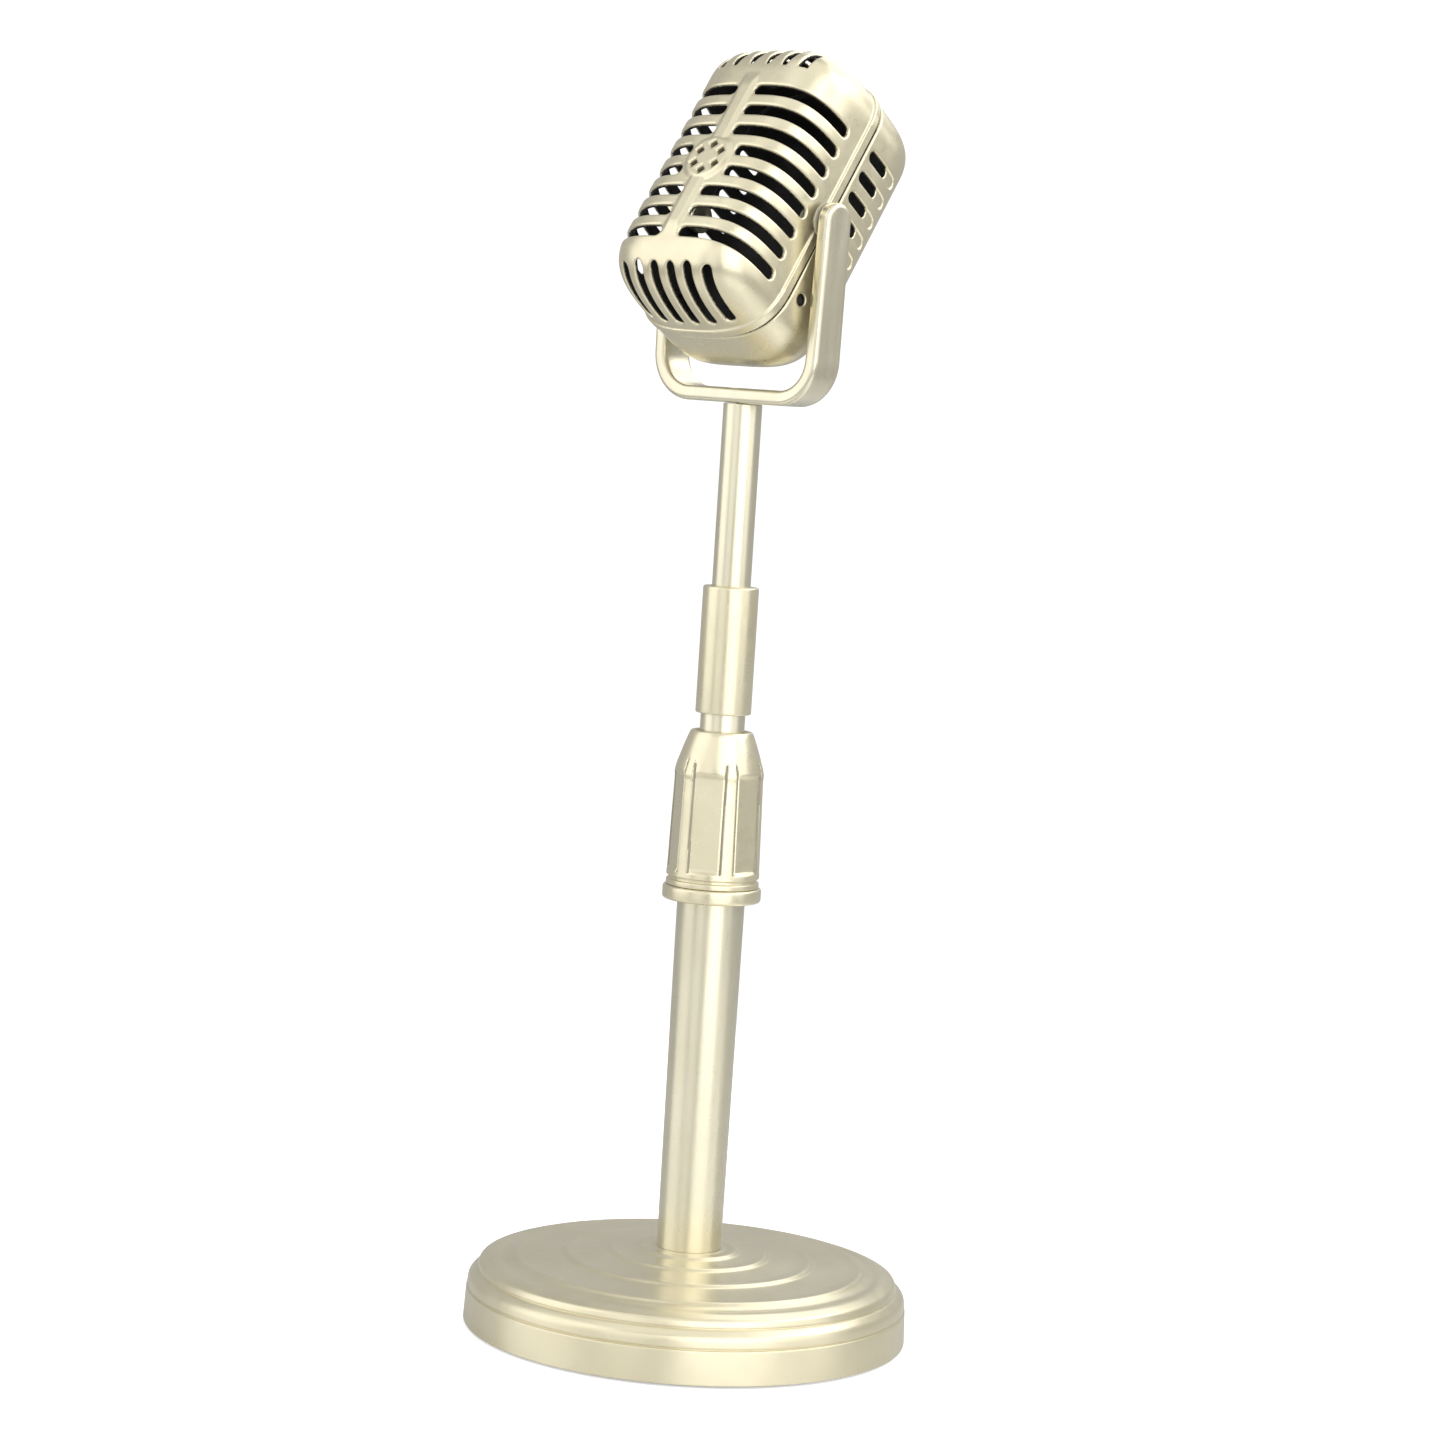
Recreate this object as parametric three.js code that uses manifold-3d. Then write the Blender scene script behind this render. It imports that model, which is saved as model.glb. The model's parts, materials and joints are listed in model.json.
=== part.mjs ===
// A vintage style toy microphone on a weighted round stand.
// Millimetres, +Z up, origin at the centre of the underside, front of the microphone towards -Y.
import * as THREE from 'three';
import { mergeVertices } from 'three/addons/utils/BufferGeometryUtils.js';
import Module from 'manifold-3d';

const wasm = await Module();
wasm.setup();

// ---- driving dimensions ----
const FIT_GAP = 0.3;
const LARGE = 200;
const OVERCUT = 1;
const TOUCH_GAP = 0.1;
const EDGE = 0.3;

const BASE = {
  radius: 45, wall: 1.6, floorGap: 0.5, skirtHeight: 7.2,
  hubRadius: 6.2, hubHeight: 17.3, hole: 4.5, segments: 40,
};
// Two rounded bands between the skirt and the top: how far in from the base radius, and height.
const BASE_RIM = [
  { inset: 0.25, height: BASE.skirtHeight },
  { inset: 0.6, height: 7.5 },
  { inset: 0.4, height: 8.3 },
  { inset: 1, height: 9.9 },
  { inset: 1.9, height: 10.9 },
  { inset: 2.4, height: 11.2 },
  { inset: 2.6, height: 12 },
  { inset: 3.5, height: 13 },
  { inset: 5.2, height: 13.5 },
];
// Each concentric step of the base top: edge radius and height of the tread inside it.
const BASE_STEPS = [
  { radius: 35.6, height: 14.6 },
  { radius: 25.2, height: 15.5 },
  { radius: 16, height: 16.4 },
  { radius: 10, height: 17.2 },
];
const STEP_DROP = 0.55;
const STEP_ROUND = { out: 0.19, down: 0.14, in: 0.77 };
const HUB_WALL = 2.4;
// Inside of the base shell, from the top edge of the weight's space down to the skirt.
const BASE_HOLLOW = [
  { radius: 39, height: 11.4 },
  { radius: 41.2, height: 9.4 },
  { radius: 43.2, height: 6.8 },
];

const PLATE = { radius: 42.8, hole: 8.5, bottom: 1.4, top: 3.8, sink: 1.5, sinkRadius: 3.1 };
const PAD = { radius: 41.5, height: 1.2 };
const WEIGHT = {
  radius: 40.4, bottom: 4.4, rimTop: 8.6, shoulderRadius: 37.4, shoulder: 10.6,
  hubRadius: 12, top: 13.4, hole: 3.3,
};
const BASE_SCREW = {
  count: 3, circle: 24, headRadius: 2.8, crownRadius: 1.96, head: 1.2, crown: 0.48, shank: 1.4, length: 8,
};
const BOLT = { headRadius: 5, headBottom: 1.5, headTop: 3.2, shank: 2.75, top: 24 };
const WASHER = { radius: 7.5, bottom: 3.3, top: 4.2 };

const TUBE = { bottom: 17.5, top: 99, lowRadius: 6.55, highRadius: 6.85, bore: 5.7 };
const PLUG = { radius: 5.45, neck: 4.2, bottom: 13.6, shoulder: 17.7, top: 29, bore: 3.05 };
const RING = { radius: 9.97, bottom: 88.6, top: 91.5, chamfer: 0.4 };
const GRIP = {
  bottom: 91.8, lipTop: 92.7, lipRadius: 9.4, grooveRadius: 8.9, bodyBottom: 93.5,
  lowRadius: 9.5, highRadius: 9.15, shoulder: 114, bore: 7.3, cavityTop: 113.5,
  top: 122.9, topRadius: 6.5, neckBore: 4.85, edge: 0.4,
};
// Bulge of the grip's nose: share of its height and how far in from the shoulder radius.
const NOSE = [
  { share: 0.35, inset: 0.4 },
  { share: 0.65, inset: 1.15 },
  { share: 0.85, inset: 1.9 },
];
const FLUTE = { count: 6, width: 6.9, depth: 0.72, bottom: 94.5, top: 113.2, turn: 1.5 };
const COLLET = {
  radius: 6.7, bore: 4.8, bottom: 99.4, taperStart: 106.4, topRadius: 5.7, top: 112, slit: 1.2,
};

const POLE = { radius: 4.5, bore: 3.4, bottom: 36, top: 139 };
const STOP = { radius: 5.4, height: 5, bore: 4.7, bottom: 38 };
const SLEEVE = { radius: 5.62, bottom: 126.4, top: 152, lowBore: 4.8, highBore: 4.1, shelf: 140 };
const ROD = { radius: 3.9, bottom: 141, bore: 1.75, top: 188.5 };

const PIVOT_HEIGHT = 225;
const YOKE = {
  bottom: 188.6, thickness: 3, width: 8.2, topWidth: 7.4, cornerRadius: 8, halfBar: 12, splay: 1.5,
  armEnd: 3.7, pinHole: 2.15, pinReach: 21.2, screwHole: 1.9, sinkRadius: 3.4, sinkDepth: 1.5,
};
const YOKE_SCREW = { headRadius: 3.15, headDepth: 1.3, shank: 1.45, length: 11 };

const HEAD_TILT = 33.8;
const SEAM_Y = 1.5;
const HEAD = {
  rise: 0.8, segments: 44, domeRows: 5, innerSegments: 28, innerRows: 4, wall: 1.3,
  topStraight: 21.7, top: 33.2, topPower: 2.6, bottomStraight: 16.1, bottom: 28.5, bottomPower: 2.85,
};
const FRONT = { halfWidth: 17.35, depth: 20, power: 3.9 };
const REAR = { halfWidth: 17.7, depth: 17.1, power: 4.2 };
const SEAM_GAP = 0.3;
const RIM = { width: 2.2, height: 0.45 };
const SPINE = { halfWidth: 1.7, height: 0.6, rear: -5, bottom: -18.5, top: 22.5 };
const BADGE = {
  radius: 5.1, height: 0.55, centre: 0.75, holeCircle: 3.1, holeRadius: 0.85, holes: 6, holeStart: 5,
};
const SLOT = { pitch: 4.97, height: 2.45, count: 8, centre: 0.55, inner: 2.3, badgeInner: 5.6, end: 4.4 };
const DOME_SLOT = {
  spacing: 4.25, width: 2.1, perSide: 3, rear: -2.4, topFront: -18.2, bottomFront: -16.4, outerFront: -15.4,
  topStart: 24.3, bottomStart: -18.3,
};
const REAR_SLOT = {
  count: 5, top: 19.2, pitch: 5, height: 2.3, front: 3.2, rear: 9.8, grooveRear: 13.4, depth: 0.7,
};
const SHELL_SCREW = {
  behindPivot: 4.7, z: -15.6, hole: 1.25, headRadius: 1.05, head: 0.9, shank: 0.6, length: 5.2, recess: 0.6,
};
const LUG = {
  height: 6, thickness: 1.8, front: 5, rear: 8.2, gap: 0.35, hole: 0.9,
  rootThickness: 2.4, rootOverlap: 0.4, rootRear: 2,
};

const PIN = { radius: 1.95, flangeRadius: 3.1, flange: 1.1, outer: 20.9, inner: 14.1, clearance: 0.4 };
const SPACER = { outer: 3.7, inner: 2.25, start: 18.4, thickness: 0.4 };

// ---- materials ----
function paint(name, colour, roughness, metalness) {
  const material = new THREE.MeshStandardMaterial({ color: colour, roughness, metalness });
  material.name = name;
  return material;
}

const champagne = paint('champagne_paint', 0xcdc8a6, 0.36, 0.55);
const steel = paint('zinc_steel', 0x9b9c9e, 0.35, 0.9);
const iron = paint('cast_iron', 0x3c3c3e, 0.75, 0.5);
const blackPlastic = paint('black_plastic', 0x18181a, 0.6, 0);
const foam = paint('dark_foam', 0x222224, 0.95, 0);
const nylon = paint('white_nylon', 0xdedbd0, 0.5, 0);

// ---- geometry helpers ----
function solid(geometry) {
  const bare = geometry.index ? geometry.clone() : geometry;
  bare.deleteAttribute('normal');
  bare.deleteAttribute('uv');
  const merged = mergeVertices(bare, 1e-5);
  const positions = new Float32Array(merged.attributes.position.array);
  const indices = new Uint32Array(merged.index.array);
  return new wasm.Manifold(new wasm.Mesh({ numProp: 3, vertProperties: positions, triVerts: indices }));
}

function surface(body) {
  const mesh = body.getMesh();
  const geometry = new THREE.BufferGeometry();
  geometry.setAttribute('position', new THREE.BufferAttribute(new Float32Array(mesh.vertProperties), 3));
  geometry.setIndex(new THREE.BufferAttribute(new Uint32Array(mesh.triVerts), 1));
  return geometry;
}

// Turns a closed [radius, height] outline about the Z axis.
function turned(outline, segments = 32) {
  const points = outline.map(([radius, height]) => new THREE.Vector2(radius, height));
  points.push(points[0].clone());
  const geometry = new THREE.LatheGeometry(points, segments);
  geometry.rotateX(Math.PI / 2);
  return solid(geometry);
}

function ring(outer, inner, bottom, top, segments = 32) {
  return turned([[inner, bottom], [outer, bottom], [outer, top], [inner, top]], segments);
}

// A rod about the Z axis, starting and ending on the axis.
function rod(steps, segments = 24) {
  const points = [new THREE.Vector2(0, steps[0][1])];
  for (const [radius, height] of steps) {
    points.push(new THREE.Vector2(radius, height));
  }
  points.push(new THREE.Vector2(0, steps[steps.length - 1][1]));
  const geometry = new THREE.LatheGeometry(points, segments);
  geometry.rotateX(Math.PI / 2);
  return solid(geometry);
}

function box(x0, x1, y0, y1, z0, z1) {
  const geometry = new THREE.BoxGeometry(x1 - x0, y1 - y0, z1 - z0);
  geometry.translate((x0 + x1) / 2, (y0 + y1) / 2, (z0 + z1) / 2);
  return solid(geometry);
}

function placed(body, rotation, position) {
  const geometry = surface(body);
  geometry.applyMatrix4(new THREE.Matrix4().makeRotationFromEuler(new THREE.Euler(...rotation)));
  geometry.translate(...position);
  return solid(geometry);
}

// A rod about the X axis from x0 to x1, centred on (y, z).
function crossRod(radius, x0, x1, y, z, segments = 20) {
  const upright = rod([[radius, x0], [radius, x1]], segments);
  return placed(upright, [0, Math.PI / 2, 0], [0, y, z]);
}

// A flat outline in the XY plane, lifted from z = 0 to z = height.
function lifted(points, height) {
  const shape = new THREE.Shape(points.map(([x, y]) => new THREE.Vector2(x, y)));
  return solid(new THREE.ExtrudeGeometry(shape, { depth: height, bevelEnabled: false }));
}

// Outline of a straight slot with round ends, along X, centred on the origin.
function slotOutline(length, width, arcSteps = 3) {
  const radius = width / 2;
  const points = [];
  for (const side of [1, -1]) {
    for (let step = 0; step <= arcSteps; step += 1) {
      const angle = (step / arcSteps - 0.5) * Math.PI;
      const x = side * (length / 2 - radius + Math.cos(angle) * radius);
      points.push([x, side * Math.sin(angle) * radius]);
    }
  }
  return points;
}

// Slot prism through Z, long in Y.
function uprightSlot(x, yStart, yEnd, width, z0, z1) {
  const prism = lifted(slotOutline(yEnd - yStart, width), z1 - z0);
  return placed(prism, [0, 0, Math.PI / 2], [x, (yStart + yEnd) / 2, z0]);
}

// Slot prism through X, long in Y.
function sideSlot(x0, x1, yStart, yEnd, z, height) {
  const prism = lifted(slotOutline(yEnd - yStart, height), x1 - x0);
  const turnedPrism = placed(prism, [0, 0, Math.PI / 2], [0, 0, 0]);
  return placed(turnedPrism, [0, Math.PI / 2, 0], [x0, (yStart + yEnd) / 2, z]);
}

// Slot prism through Y, long in X.
function frontSlot(xStart, xEnd, y0, y1, z, height) {
  const prism = lifted(slotOutline(xEnd - xStart, height), y1 - y0);
  return placed(prism, [Math.PI / 2, 0, 0], [(xStart + xEnd) / 2, y1, z]);
}

function piece(name, body, material, parent) {
  const geometry = surface(body);
  geometry.computeVertexNormals();
  const mesh = new THREE.Mesh(geometry, material);
  mesh.name = name;
  parent.add(mesh);
  return mesh;
}

// ---- assembly groups ----
const group = new THREE.Group();
const head = new THREE.Group();
head.position.set(0, 0, PIVOT_HEIGHT);
head.rotation.x = -THREE.MathUtils.degToRad(HEAD_TILT);
group.add(head);

// ---- base ----
function baseTopOutline() {
  const outline = [];
  BASE_STEPS.forEach((step, index) => {
    const next = BASE_STEPS[index + 1];
    const treadEnd = next ? next.radius + STEP_DROP : BASE.hubRadius;
    const treadTop = next ? next.height - STEP_DROP : BASE.hubHeight;
    outline.push([step.radius, step.height - STEP_DROP]);
    outline.push([step.radius - STEP_ROUND.out, step.height - STEP_ROUND.down]);
    outline.push([step.radius - STEP_ROUND.in, step.height]);
    outline.push([treadEnd, Math.min(treadTop, step.height + STEP_DROP)]);
  });
  return outline;
}

function makeBaseShell() {
  const outer = [
    [BASE.radius, BASE.floorGap],
    ...BASE_RIM.map(({ inset, height }) => [BASE.radius - inset, height]),
    [BASE_STEPS[0].radius + STEP_DROP, BASE_STEPS[0].height - STEP_DROP],
    ...baseTopOutline(),
    [BASE.hole, BASE.hubHeight],
  ];
  const last = BASE_STEPS[BASE_STEPS.length - 1];
  const inner = [
    [BASE.hole, BASE.hubHeight - HUB_WALL],
    [last.radius, last.height - HUB_WALL],
    ...BASE_HOLLOW.map(({ radius, height }) => [radius, height]),
    [BASE.radius - BASE.wall, BASE.floorGap],
  ];
  return turned([...outer, ...inner], BASE.segments);
}

function baseScrewPlaces() {
  const places = [];
  for (let index = 0; index < BASE_SCREW.count; index += 1) {
    const angle = (index / BASE_SCREW.count) * Math.PI * 2 + Math.PI / 2;
    places.push([Math.cos(angle) * BASE_SCREW.circle, Math.sin(angle) * BASE_SCREW.circle]);
  }
  return places;
}

function drilled(body, radius, places, z0, z1) {
  let result = body;
  for (const [x, y] of places) {
    result = result.subtract(placed(rod([[radius, z0], [radius, z1]], 16), [0, 0, 0], [x, y, 0]));
  }
  return result;
}

const screwPlaces = baseScrewPlaces();
const screwClear = BASE_SCREW.shank + FIT_GAP;
const screwTop = PLATE.bottom + BASE_SCREW.length;

piece('base_shell', makeBaseShell(), champagne, group);

const weightBlank = turned([
  [WEIGHT.hole, WEIGHT.bottom],
  [WEIGHT.radius, WEIGHT.bottom],
  [WEIGHT.radius, WEIGHT.rimTop],
  [WEIGHT.shoulderRadius, WEIGHT.shoulder],
  [WEIGHT.hubRadius, WEIGHT.top],
  [WEIGHT.hole, WEIGHT.top],
], BASE.segments);
const weight = drilled(weightBlank, screwClear, screwPlaces, WEIGHT.bottom - OVERCUT, screwTop + FIT_GAP);
piece('base_weight', weight, iron, group);

const plateBlank = ring(PLATE.radius, PLATE.hole, PLATE.bottom, PLATE.top, BASE.segments);
const plateDrilled = drilled(
  plateBlank, screwClear, screwPlaces, PLATE.bottom - OVERCUT, PLATE.top + OVERCUT);
const sinkTop = PLATE.bottom + PLATE.sink;
const plate = drilled(plateDrilled, PLATE.sinkRadius, screwPlaces, PLATE.bottom - OVERCUT, sinkTop);
piece('base_plate', plate, blackPlastic, group);
piece('foot_pad', rod([[PAD.radius, 0], [PAD.radius, PAD.height]], BASE.segments), foam, group);

screwPlaces.forEach(([x, y], index) => {
  const screw = rod([
    [BASE_SCREW.crownRadius, sinkTop - BASE_SCREW.head],
    [BASE_SCREW.headRadius, sinkTop - BASE_SCREW.head + BASE_SCREW.crown],
    [BASE_SCREW.headRadius, sinkTop - TOUCH_GAP],
    [BASE_SCREW.shank, sinkTop - TOUCH_GAP],
    [BASE_SCREW.shank, screwTop],
  ], 16);
  const mesh = piece(`base_screw_${index + 1}`, screw, steel, group);
  mesh.position.set(x, y, 0);
});

piece('pole_bolt', rod([
  [BOLT.headRadius, BOLT.headBottom],
  [BOLT.headRadius, BOLT.headTop],
  [BOLT.shank, BOLT.headTop],
  [BOLT.shank, BOLT.top],
], 18), steel, group);
piece('pole_washer', ring(WASHER.radius, BOLT.shank + FIT_GAP, WASHER.bottom, WASHER.top), steel, group);

// ---- fixed tube and clutch ----
piece('lower_tube', turned([
  [TUBE.bore, TUBE.bottom],
  [TUBE.lowRadius, TUBE.bottom],
  [TUBE.highRadius, RING.bottom],
  [TUBE.highRadius, TUBE.top],
  [TUBE.bore, TUBE.top],
], 40), champagne, group);

piece('tube_plug', turned([
  [PLUG.bore, PLUG.bottom],
  [PLUG.neck, PLUG.bottom],
  [PLUG.neck, PLUG.shoulder],
  [PLUG.radius, PLUG.shoulder],
  [PLUG.radius, PLUG.top],
  [PLUG.bore, PLUG.top],
], 24), steel, group);

piece('clutch_ring', turned([
  [TUBE.highRadius + TOUCH_GAP, RING.bottom],
  [RING.radius - RING.chamfer, RING.bottom],
  [RING.radius, RING.bottom + RING.chamfer],
  [RING.radius, RING.top - RING.chamfer],
  [RING.radius - RING.chamfer, RING.top],
  [TUBE.highRadius + TOUCH_GAP, RING.top],
], 40), champagne, group);

const colletBlank = turned([
  [COLLET.bore, COLLET.bottom],
  [COLLET.radius, COLLET.bottom],
  [COLLET.radius, COLLET.taperStart],
  [COLLET.topRadius, COLLET.top],
  [COLLET.bore, COLLET.top],
], 24);
const colletSlit = box(
  -COLLET.slit / 2, COLLET.slit / 2, 0, LARGE, COLLET.bottom - OVERCUT, COLLET.top + OVERCUT);
piece('clutch_collet', colletBlank.subtract(colletSlit), nylon, group);

function makeGrip() {
  const noseHeight = GRIP.top - GRIP.shoulder;
  let grip = turned([
    [GRIP.bore, GRIP.bottom],
    [GRIP.lipRadius, GRIP.bottom],
    [GRIP.lipRadius, GRIP.lipTop],
    [GRIP.grooveRadius, GRIP.lipTop],
    [GRIP.grooveRadius, GRIP.bodyBottom],
    [GRIP.lowRadius, GRIP.bodyBottom],
    [GRIP.highRadius, GRIP.shoulder],
    ...NOSE.map(({ share, inset }) => [GRIP.highRadius - inset, GRIP.shoulder + noseHeight * share]),
    [GRIP.topRadius, GRIP.top - GRIP.edge],
    [GRIP.topRadius - GRIP.edge, GRIP.top],
    [GRIP.neckBore, GRIP.top],
    [GRIP.neckBore, GRIP.cavityTop],
    [GRIP.bore, GRIP.cavityTop],
  ], 32);
  const floor = GRIP.highRadius - FLUTE.depth;
  const beyond = GRIP.lowRadius + OVERCUT;
  const cutter = box(-FLUTE.width / 2, FLUTE.width / 2, floor, beyond, FLUTE.bottom, FLUTE.top);
  const turn = THREE.MathUtils.degToRad(FLUTE.turn);
  for (let index = 0; index < FLUTE.count; index += 1) {
    const angle = turn + (index + 0.5) * (Math.PI * 2 / FLUTE.count);
    grip = grip.subtract(placed(cutter, [0, 0, angle], [0, 0, 0]));
  }
  return grip;
}
piece('clutch_grip', makeGrip(), champagne, group);

// ---- sliding pole ----
piece('inner_pole', ring(POLE.radius, POLE.bore, POLE.bottom, POLE.top, 32), champagne, group);
piece('pole_stop', ring(STOP.radius, STOP.bore, STOP.bottom, STOP.bottom + STOP.height, 24), nylon, group);

// ---- swivelling mast ----
piece('pole_sleeve', turned([
  [SLEEVE.lowBore, SLEEVE.bottom],
  [SLEEVE.radius - EDGE, SLEEVE.bottom],
  [SLEEVE.radius, SLEEVE.bottom + EDGE],
  [SLEEVE.radius, SLEEVE.top - EDGE],
  [SLEEVE.radius - EDGE, SLEEVE.top],
  [SLEEVE.highBore, SLEEVE.top],
  [SLEEVE.highBore, SLEEVE.shelf],
  [SLEEVE.lowBore, SLEEVE.shelf],
], 36), champagne, group);

const rodSolid = rod([[ROD.radius, ROD.bottom], [ROD.radius, ROD.top]], 28);
const rodThread = rod([[ROD.bore, ROD.top - YOKE_SCREW.length], [ROD.bore, ROD.top + OVERCUT]], 16);
piece('upper_rod', rodSolid.subtract(rodThread), champagne, group);

// Outline of the U bracket seen from the front, offset outwards and inwards from its middle line.
function yokeSide(offset) {
  const lean = THREE.MathUtils.degToRad(YOKE.splay);
  const barMiddle = YOKE.bottom + YOKE.thickness / 2;
  const centreHeight = barMiddle + YOKE.cornerRadius;
  const radius = YOKE.cornerRadius + offset;
  const cornerSteps = 7;
  const points = [];
  for (let step = 0; step <= cornerSteps; step += 1) {
    const angle = -Math.PI / 2 + (Math.PI / 2 - lean) * (step / cornerSteps);
    points.push([YOKE.halfBar + Math.cos(angle) * radius, centreHeight + Math.sin(angle) * radius]);
  }
  const [lastX, lastZ] = points[points.length - 1];
  const armTop = PIVOT_HEIGHT + YOKE.armEnd;
  points.push([lastX + (armTop - lastZ) * Math.tan(lean), armTop]);
  return points;
}

function mirroredX(points) {
  return points.map(([x, z]) => [-x, z]).reverse();
}

function makeYoke() {
  const outer = yokeSide(YOKE.thickness / 2);
  const inner = yokeSide(-YOKE.thickness / 2);
  const outline = [...mirroredX(outer), ...outer, ...inner.slice().reverse(), ...mirroredX(inner).reverse()];
  const depth = YOKE.width + OVERCUT * 2;
  const bent = placed(lifted(outline, depth), [Math.PI / 2, 0, 0], [0, depth / 2, 0]);

  const endSteps = 8;
  const under = YOKE.bottom - OVERCUT;
  const sideOutline = [[-YOKE.width / 2, under], [YOKE.width / 2, under]];
  for (let step = 0; step <= endSteps; step += 1) {
    const angle = Math.PI * (step / endSteps);
    sideOutline.push([Math.cos(angle) * YOKE.topWidth / 2, PIVOT_HEIGHT + Math.sin(angle) * YOKE.armEnd]);
  }
  const sidePrism = lifted(sideOutline, LARGE);
  const upright = placed(sidePrism, [Math.PI / 2, 0, 0], [0, LARGE / 2, 0]);
  const sideCut = placed(upright, [0, 0, Math.PI / 2], [0, 0, 0]);

  // Blind from inside, so that the arms stay plain on the outside.
  const pinHole = crossRod(YOKE.pinHole, -YOKE.pinReach, YOKE.pinReach, 0, PIVOT_HEIGHT);
  const barTop = YOKE.bottom + YOKE.thickness;
  const screwHole = rod([
    [YOKE.screwHole, under],
    [YOKE.screwHole, barTop - YOKE.sinkDepth],
    [YOKE.sinkRadius, barTop - TOUCH_GAP / 2],
    [YOKE.sinkRadius, barTop + OVERCUT],
  ], 20);
  return bent.intersect(sideCut).subtract(pinHole).subtract(screwHole);
}
piece('yoke', makeYoke(), champagne, group);

const yokeBarTop = YOKE.bottom + YOKE.thickness;
piece('yoke_screw', rod([
  [YOKE_SCREW.shank, yokeBarTop - YOKE_SCREW.length],
  [YOKE_SCREW.shank, yokeBarTop - YOKE_SCREW.headDepth - TOUCH_GAP],
  [YOKE_SCREW.headRadius, yokeBarTop - TOUCH_GAP],
], 20), steel, group);

// ---- head shells ----
// Scale of the plan outline at a height: straight in the middle and domed at both ends.
function domeScale(height, inset) {
  const isTop = height > 0;
  const straight = isTop ? HEAD.topStraight : HEAD.bottomStraight;
  const end = (isTop ? HEAD.top : HEAD.bottom) - inset;
  const power = isTop ? HEAD.topPower : HEAD.bottomPower;
  const along = Math.max(0, (Math.abs(height) - straight) / (end - straight));
  return (1 - Math.min(1, along) ** power) ** (1 / power);
}

function planRadius(angle, inset) {
  const side = Math.sin(angle) >= 0 ? REAR : FRONT;
  const across = Math.abs(Math.cos(angle) / (side.halfWidth - inset)) ** side.power;
  const along = Math.abs(Math.sin(angle) / (side.depth - inset)) ** side.power;
  return (across + along) ** (-1 / side.power);
}

function headHeights(inset, rows) {
  const heights = [];
  for (let row = rows - 1; row > 0; row -= 1) {
    const share = Math.sin((row / rows) * Math.PI / 2);
    heights.push(-HEAD.bottomStraight - (HEAD.bottom - inset - HEAD.bottomStraight) * share);
  }
  heights.push(-HEAD.bottomStraight, HEAD.topStraight);
  for (let row = 1; row < rows; row += 1) {
    const share = Math.sin((row / rows) * Math.PI / 2);
    heights.push(HEAD.topStraight + (HEAD.top - inset - HEAD.topStraight) * share);
  }
  return heights;
}

// Whole head volume, moved in from the outer surface by an inset.
function headVolume(inset, segments = HEAD.segments, rows = HEAD.domeRows) {
  const heights = headHeights(inset, rows);
  const positions = [0, SEAM_Y, HEAD.rise - HEAD.bottom + inset];
  for (const height of heights) {
    const scale = domeScale(height, inset);
    for (let step = 0; step < segments; step += 1) {
      const angle = (step / segments) * Math.PI * 2;
      const radius = planRadius(angle, inset) * scale;
      positions.push(Math.cos(angle) * radius, SEAM_Y + Math.sin(angle) * radius, HEAD.rise + height);
    }
  }
  positions.push(0, SEAM_Y, HEAD.rise + HEAD.top - inset);

  const indices = [];
  const lastVertex = positions.length / 3 - 1;
  for (let step = 0; step < segments; step += 1) {
    const next = (step + 1) % segments;
    indices.push(0, 1 + next, 1 + step);
    for (let row = 0; row < heights.length - 1; row += 1) {
      const low = 1 + row * segments;
      const high = low + segments;
      indices.push(low + step, low + next, high + next);
      indices.push(low + step, high + next, high + step);
    }
    const topRow = 1 + (heights.length - 1) * segments;
    indices.push(lastVertex, topRow + step, topRow + next);
  }
  const geometry = new THREE.BufferGeometry();
  geometry.setAttribute('position', new THREE.BufferAttribute(new Float32Array(positions), 3));
  geometry.setIndex(indices);
  return solid(geometry);
}

const headOuter = headVolume(0);
const headInner = headVolume(HEAD.wall, HEAD.innerSegments, HEAD.innerRows);
const slotMiddle = (SLOT.count - 1) / 2;

function slotHeights(count, top, pitch) {
  return Array.from({ length: count }, (_, index) => top - index * pitch);
}

// Sideways place and lower front end of each dome slot; the outermost ones are shorter below.
function domeSlotPlaces() {
  const places = [];
  for (let index = 0; index < DOME_SLOT.perSide; index += 1) {
    const isOuter = index === DOME_SLOT.perSide - 1;
    const bottomFront = isOuter ? DOME_SLOT.outerFront : DOME_SLOT.bottomFront;
    for (const side of [1, -1]) {
      places.push({ x: side * (index + 0.5) * DOME_SLOT.spacing, bottomFront });
    }
  }
  return places;
}

// A grille slot that starts beside the spine and wraps round to the side of the front shell.
function grilleSlot(side, inner, z) {
  const across = side > 0
    ? frontSlot(inner, LARGE, -LARGE, -SLOT.end, z, SLOT.height)
    : frontSlot(-LARGE, -inner, -LARGE, -SLOT.end, z, SLOT.height);
  const alongSide = sideSlot(-LARGE / 2, LARGE / 2, -LARGE, -SLOT.end + SLOT.height / 2, z, SLOT.height);
  return across.intersect(alongSide);
}

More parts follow.
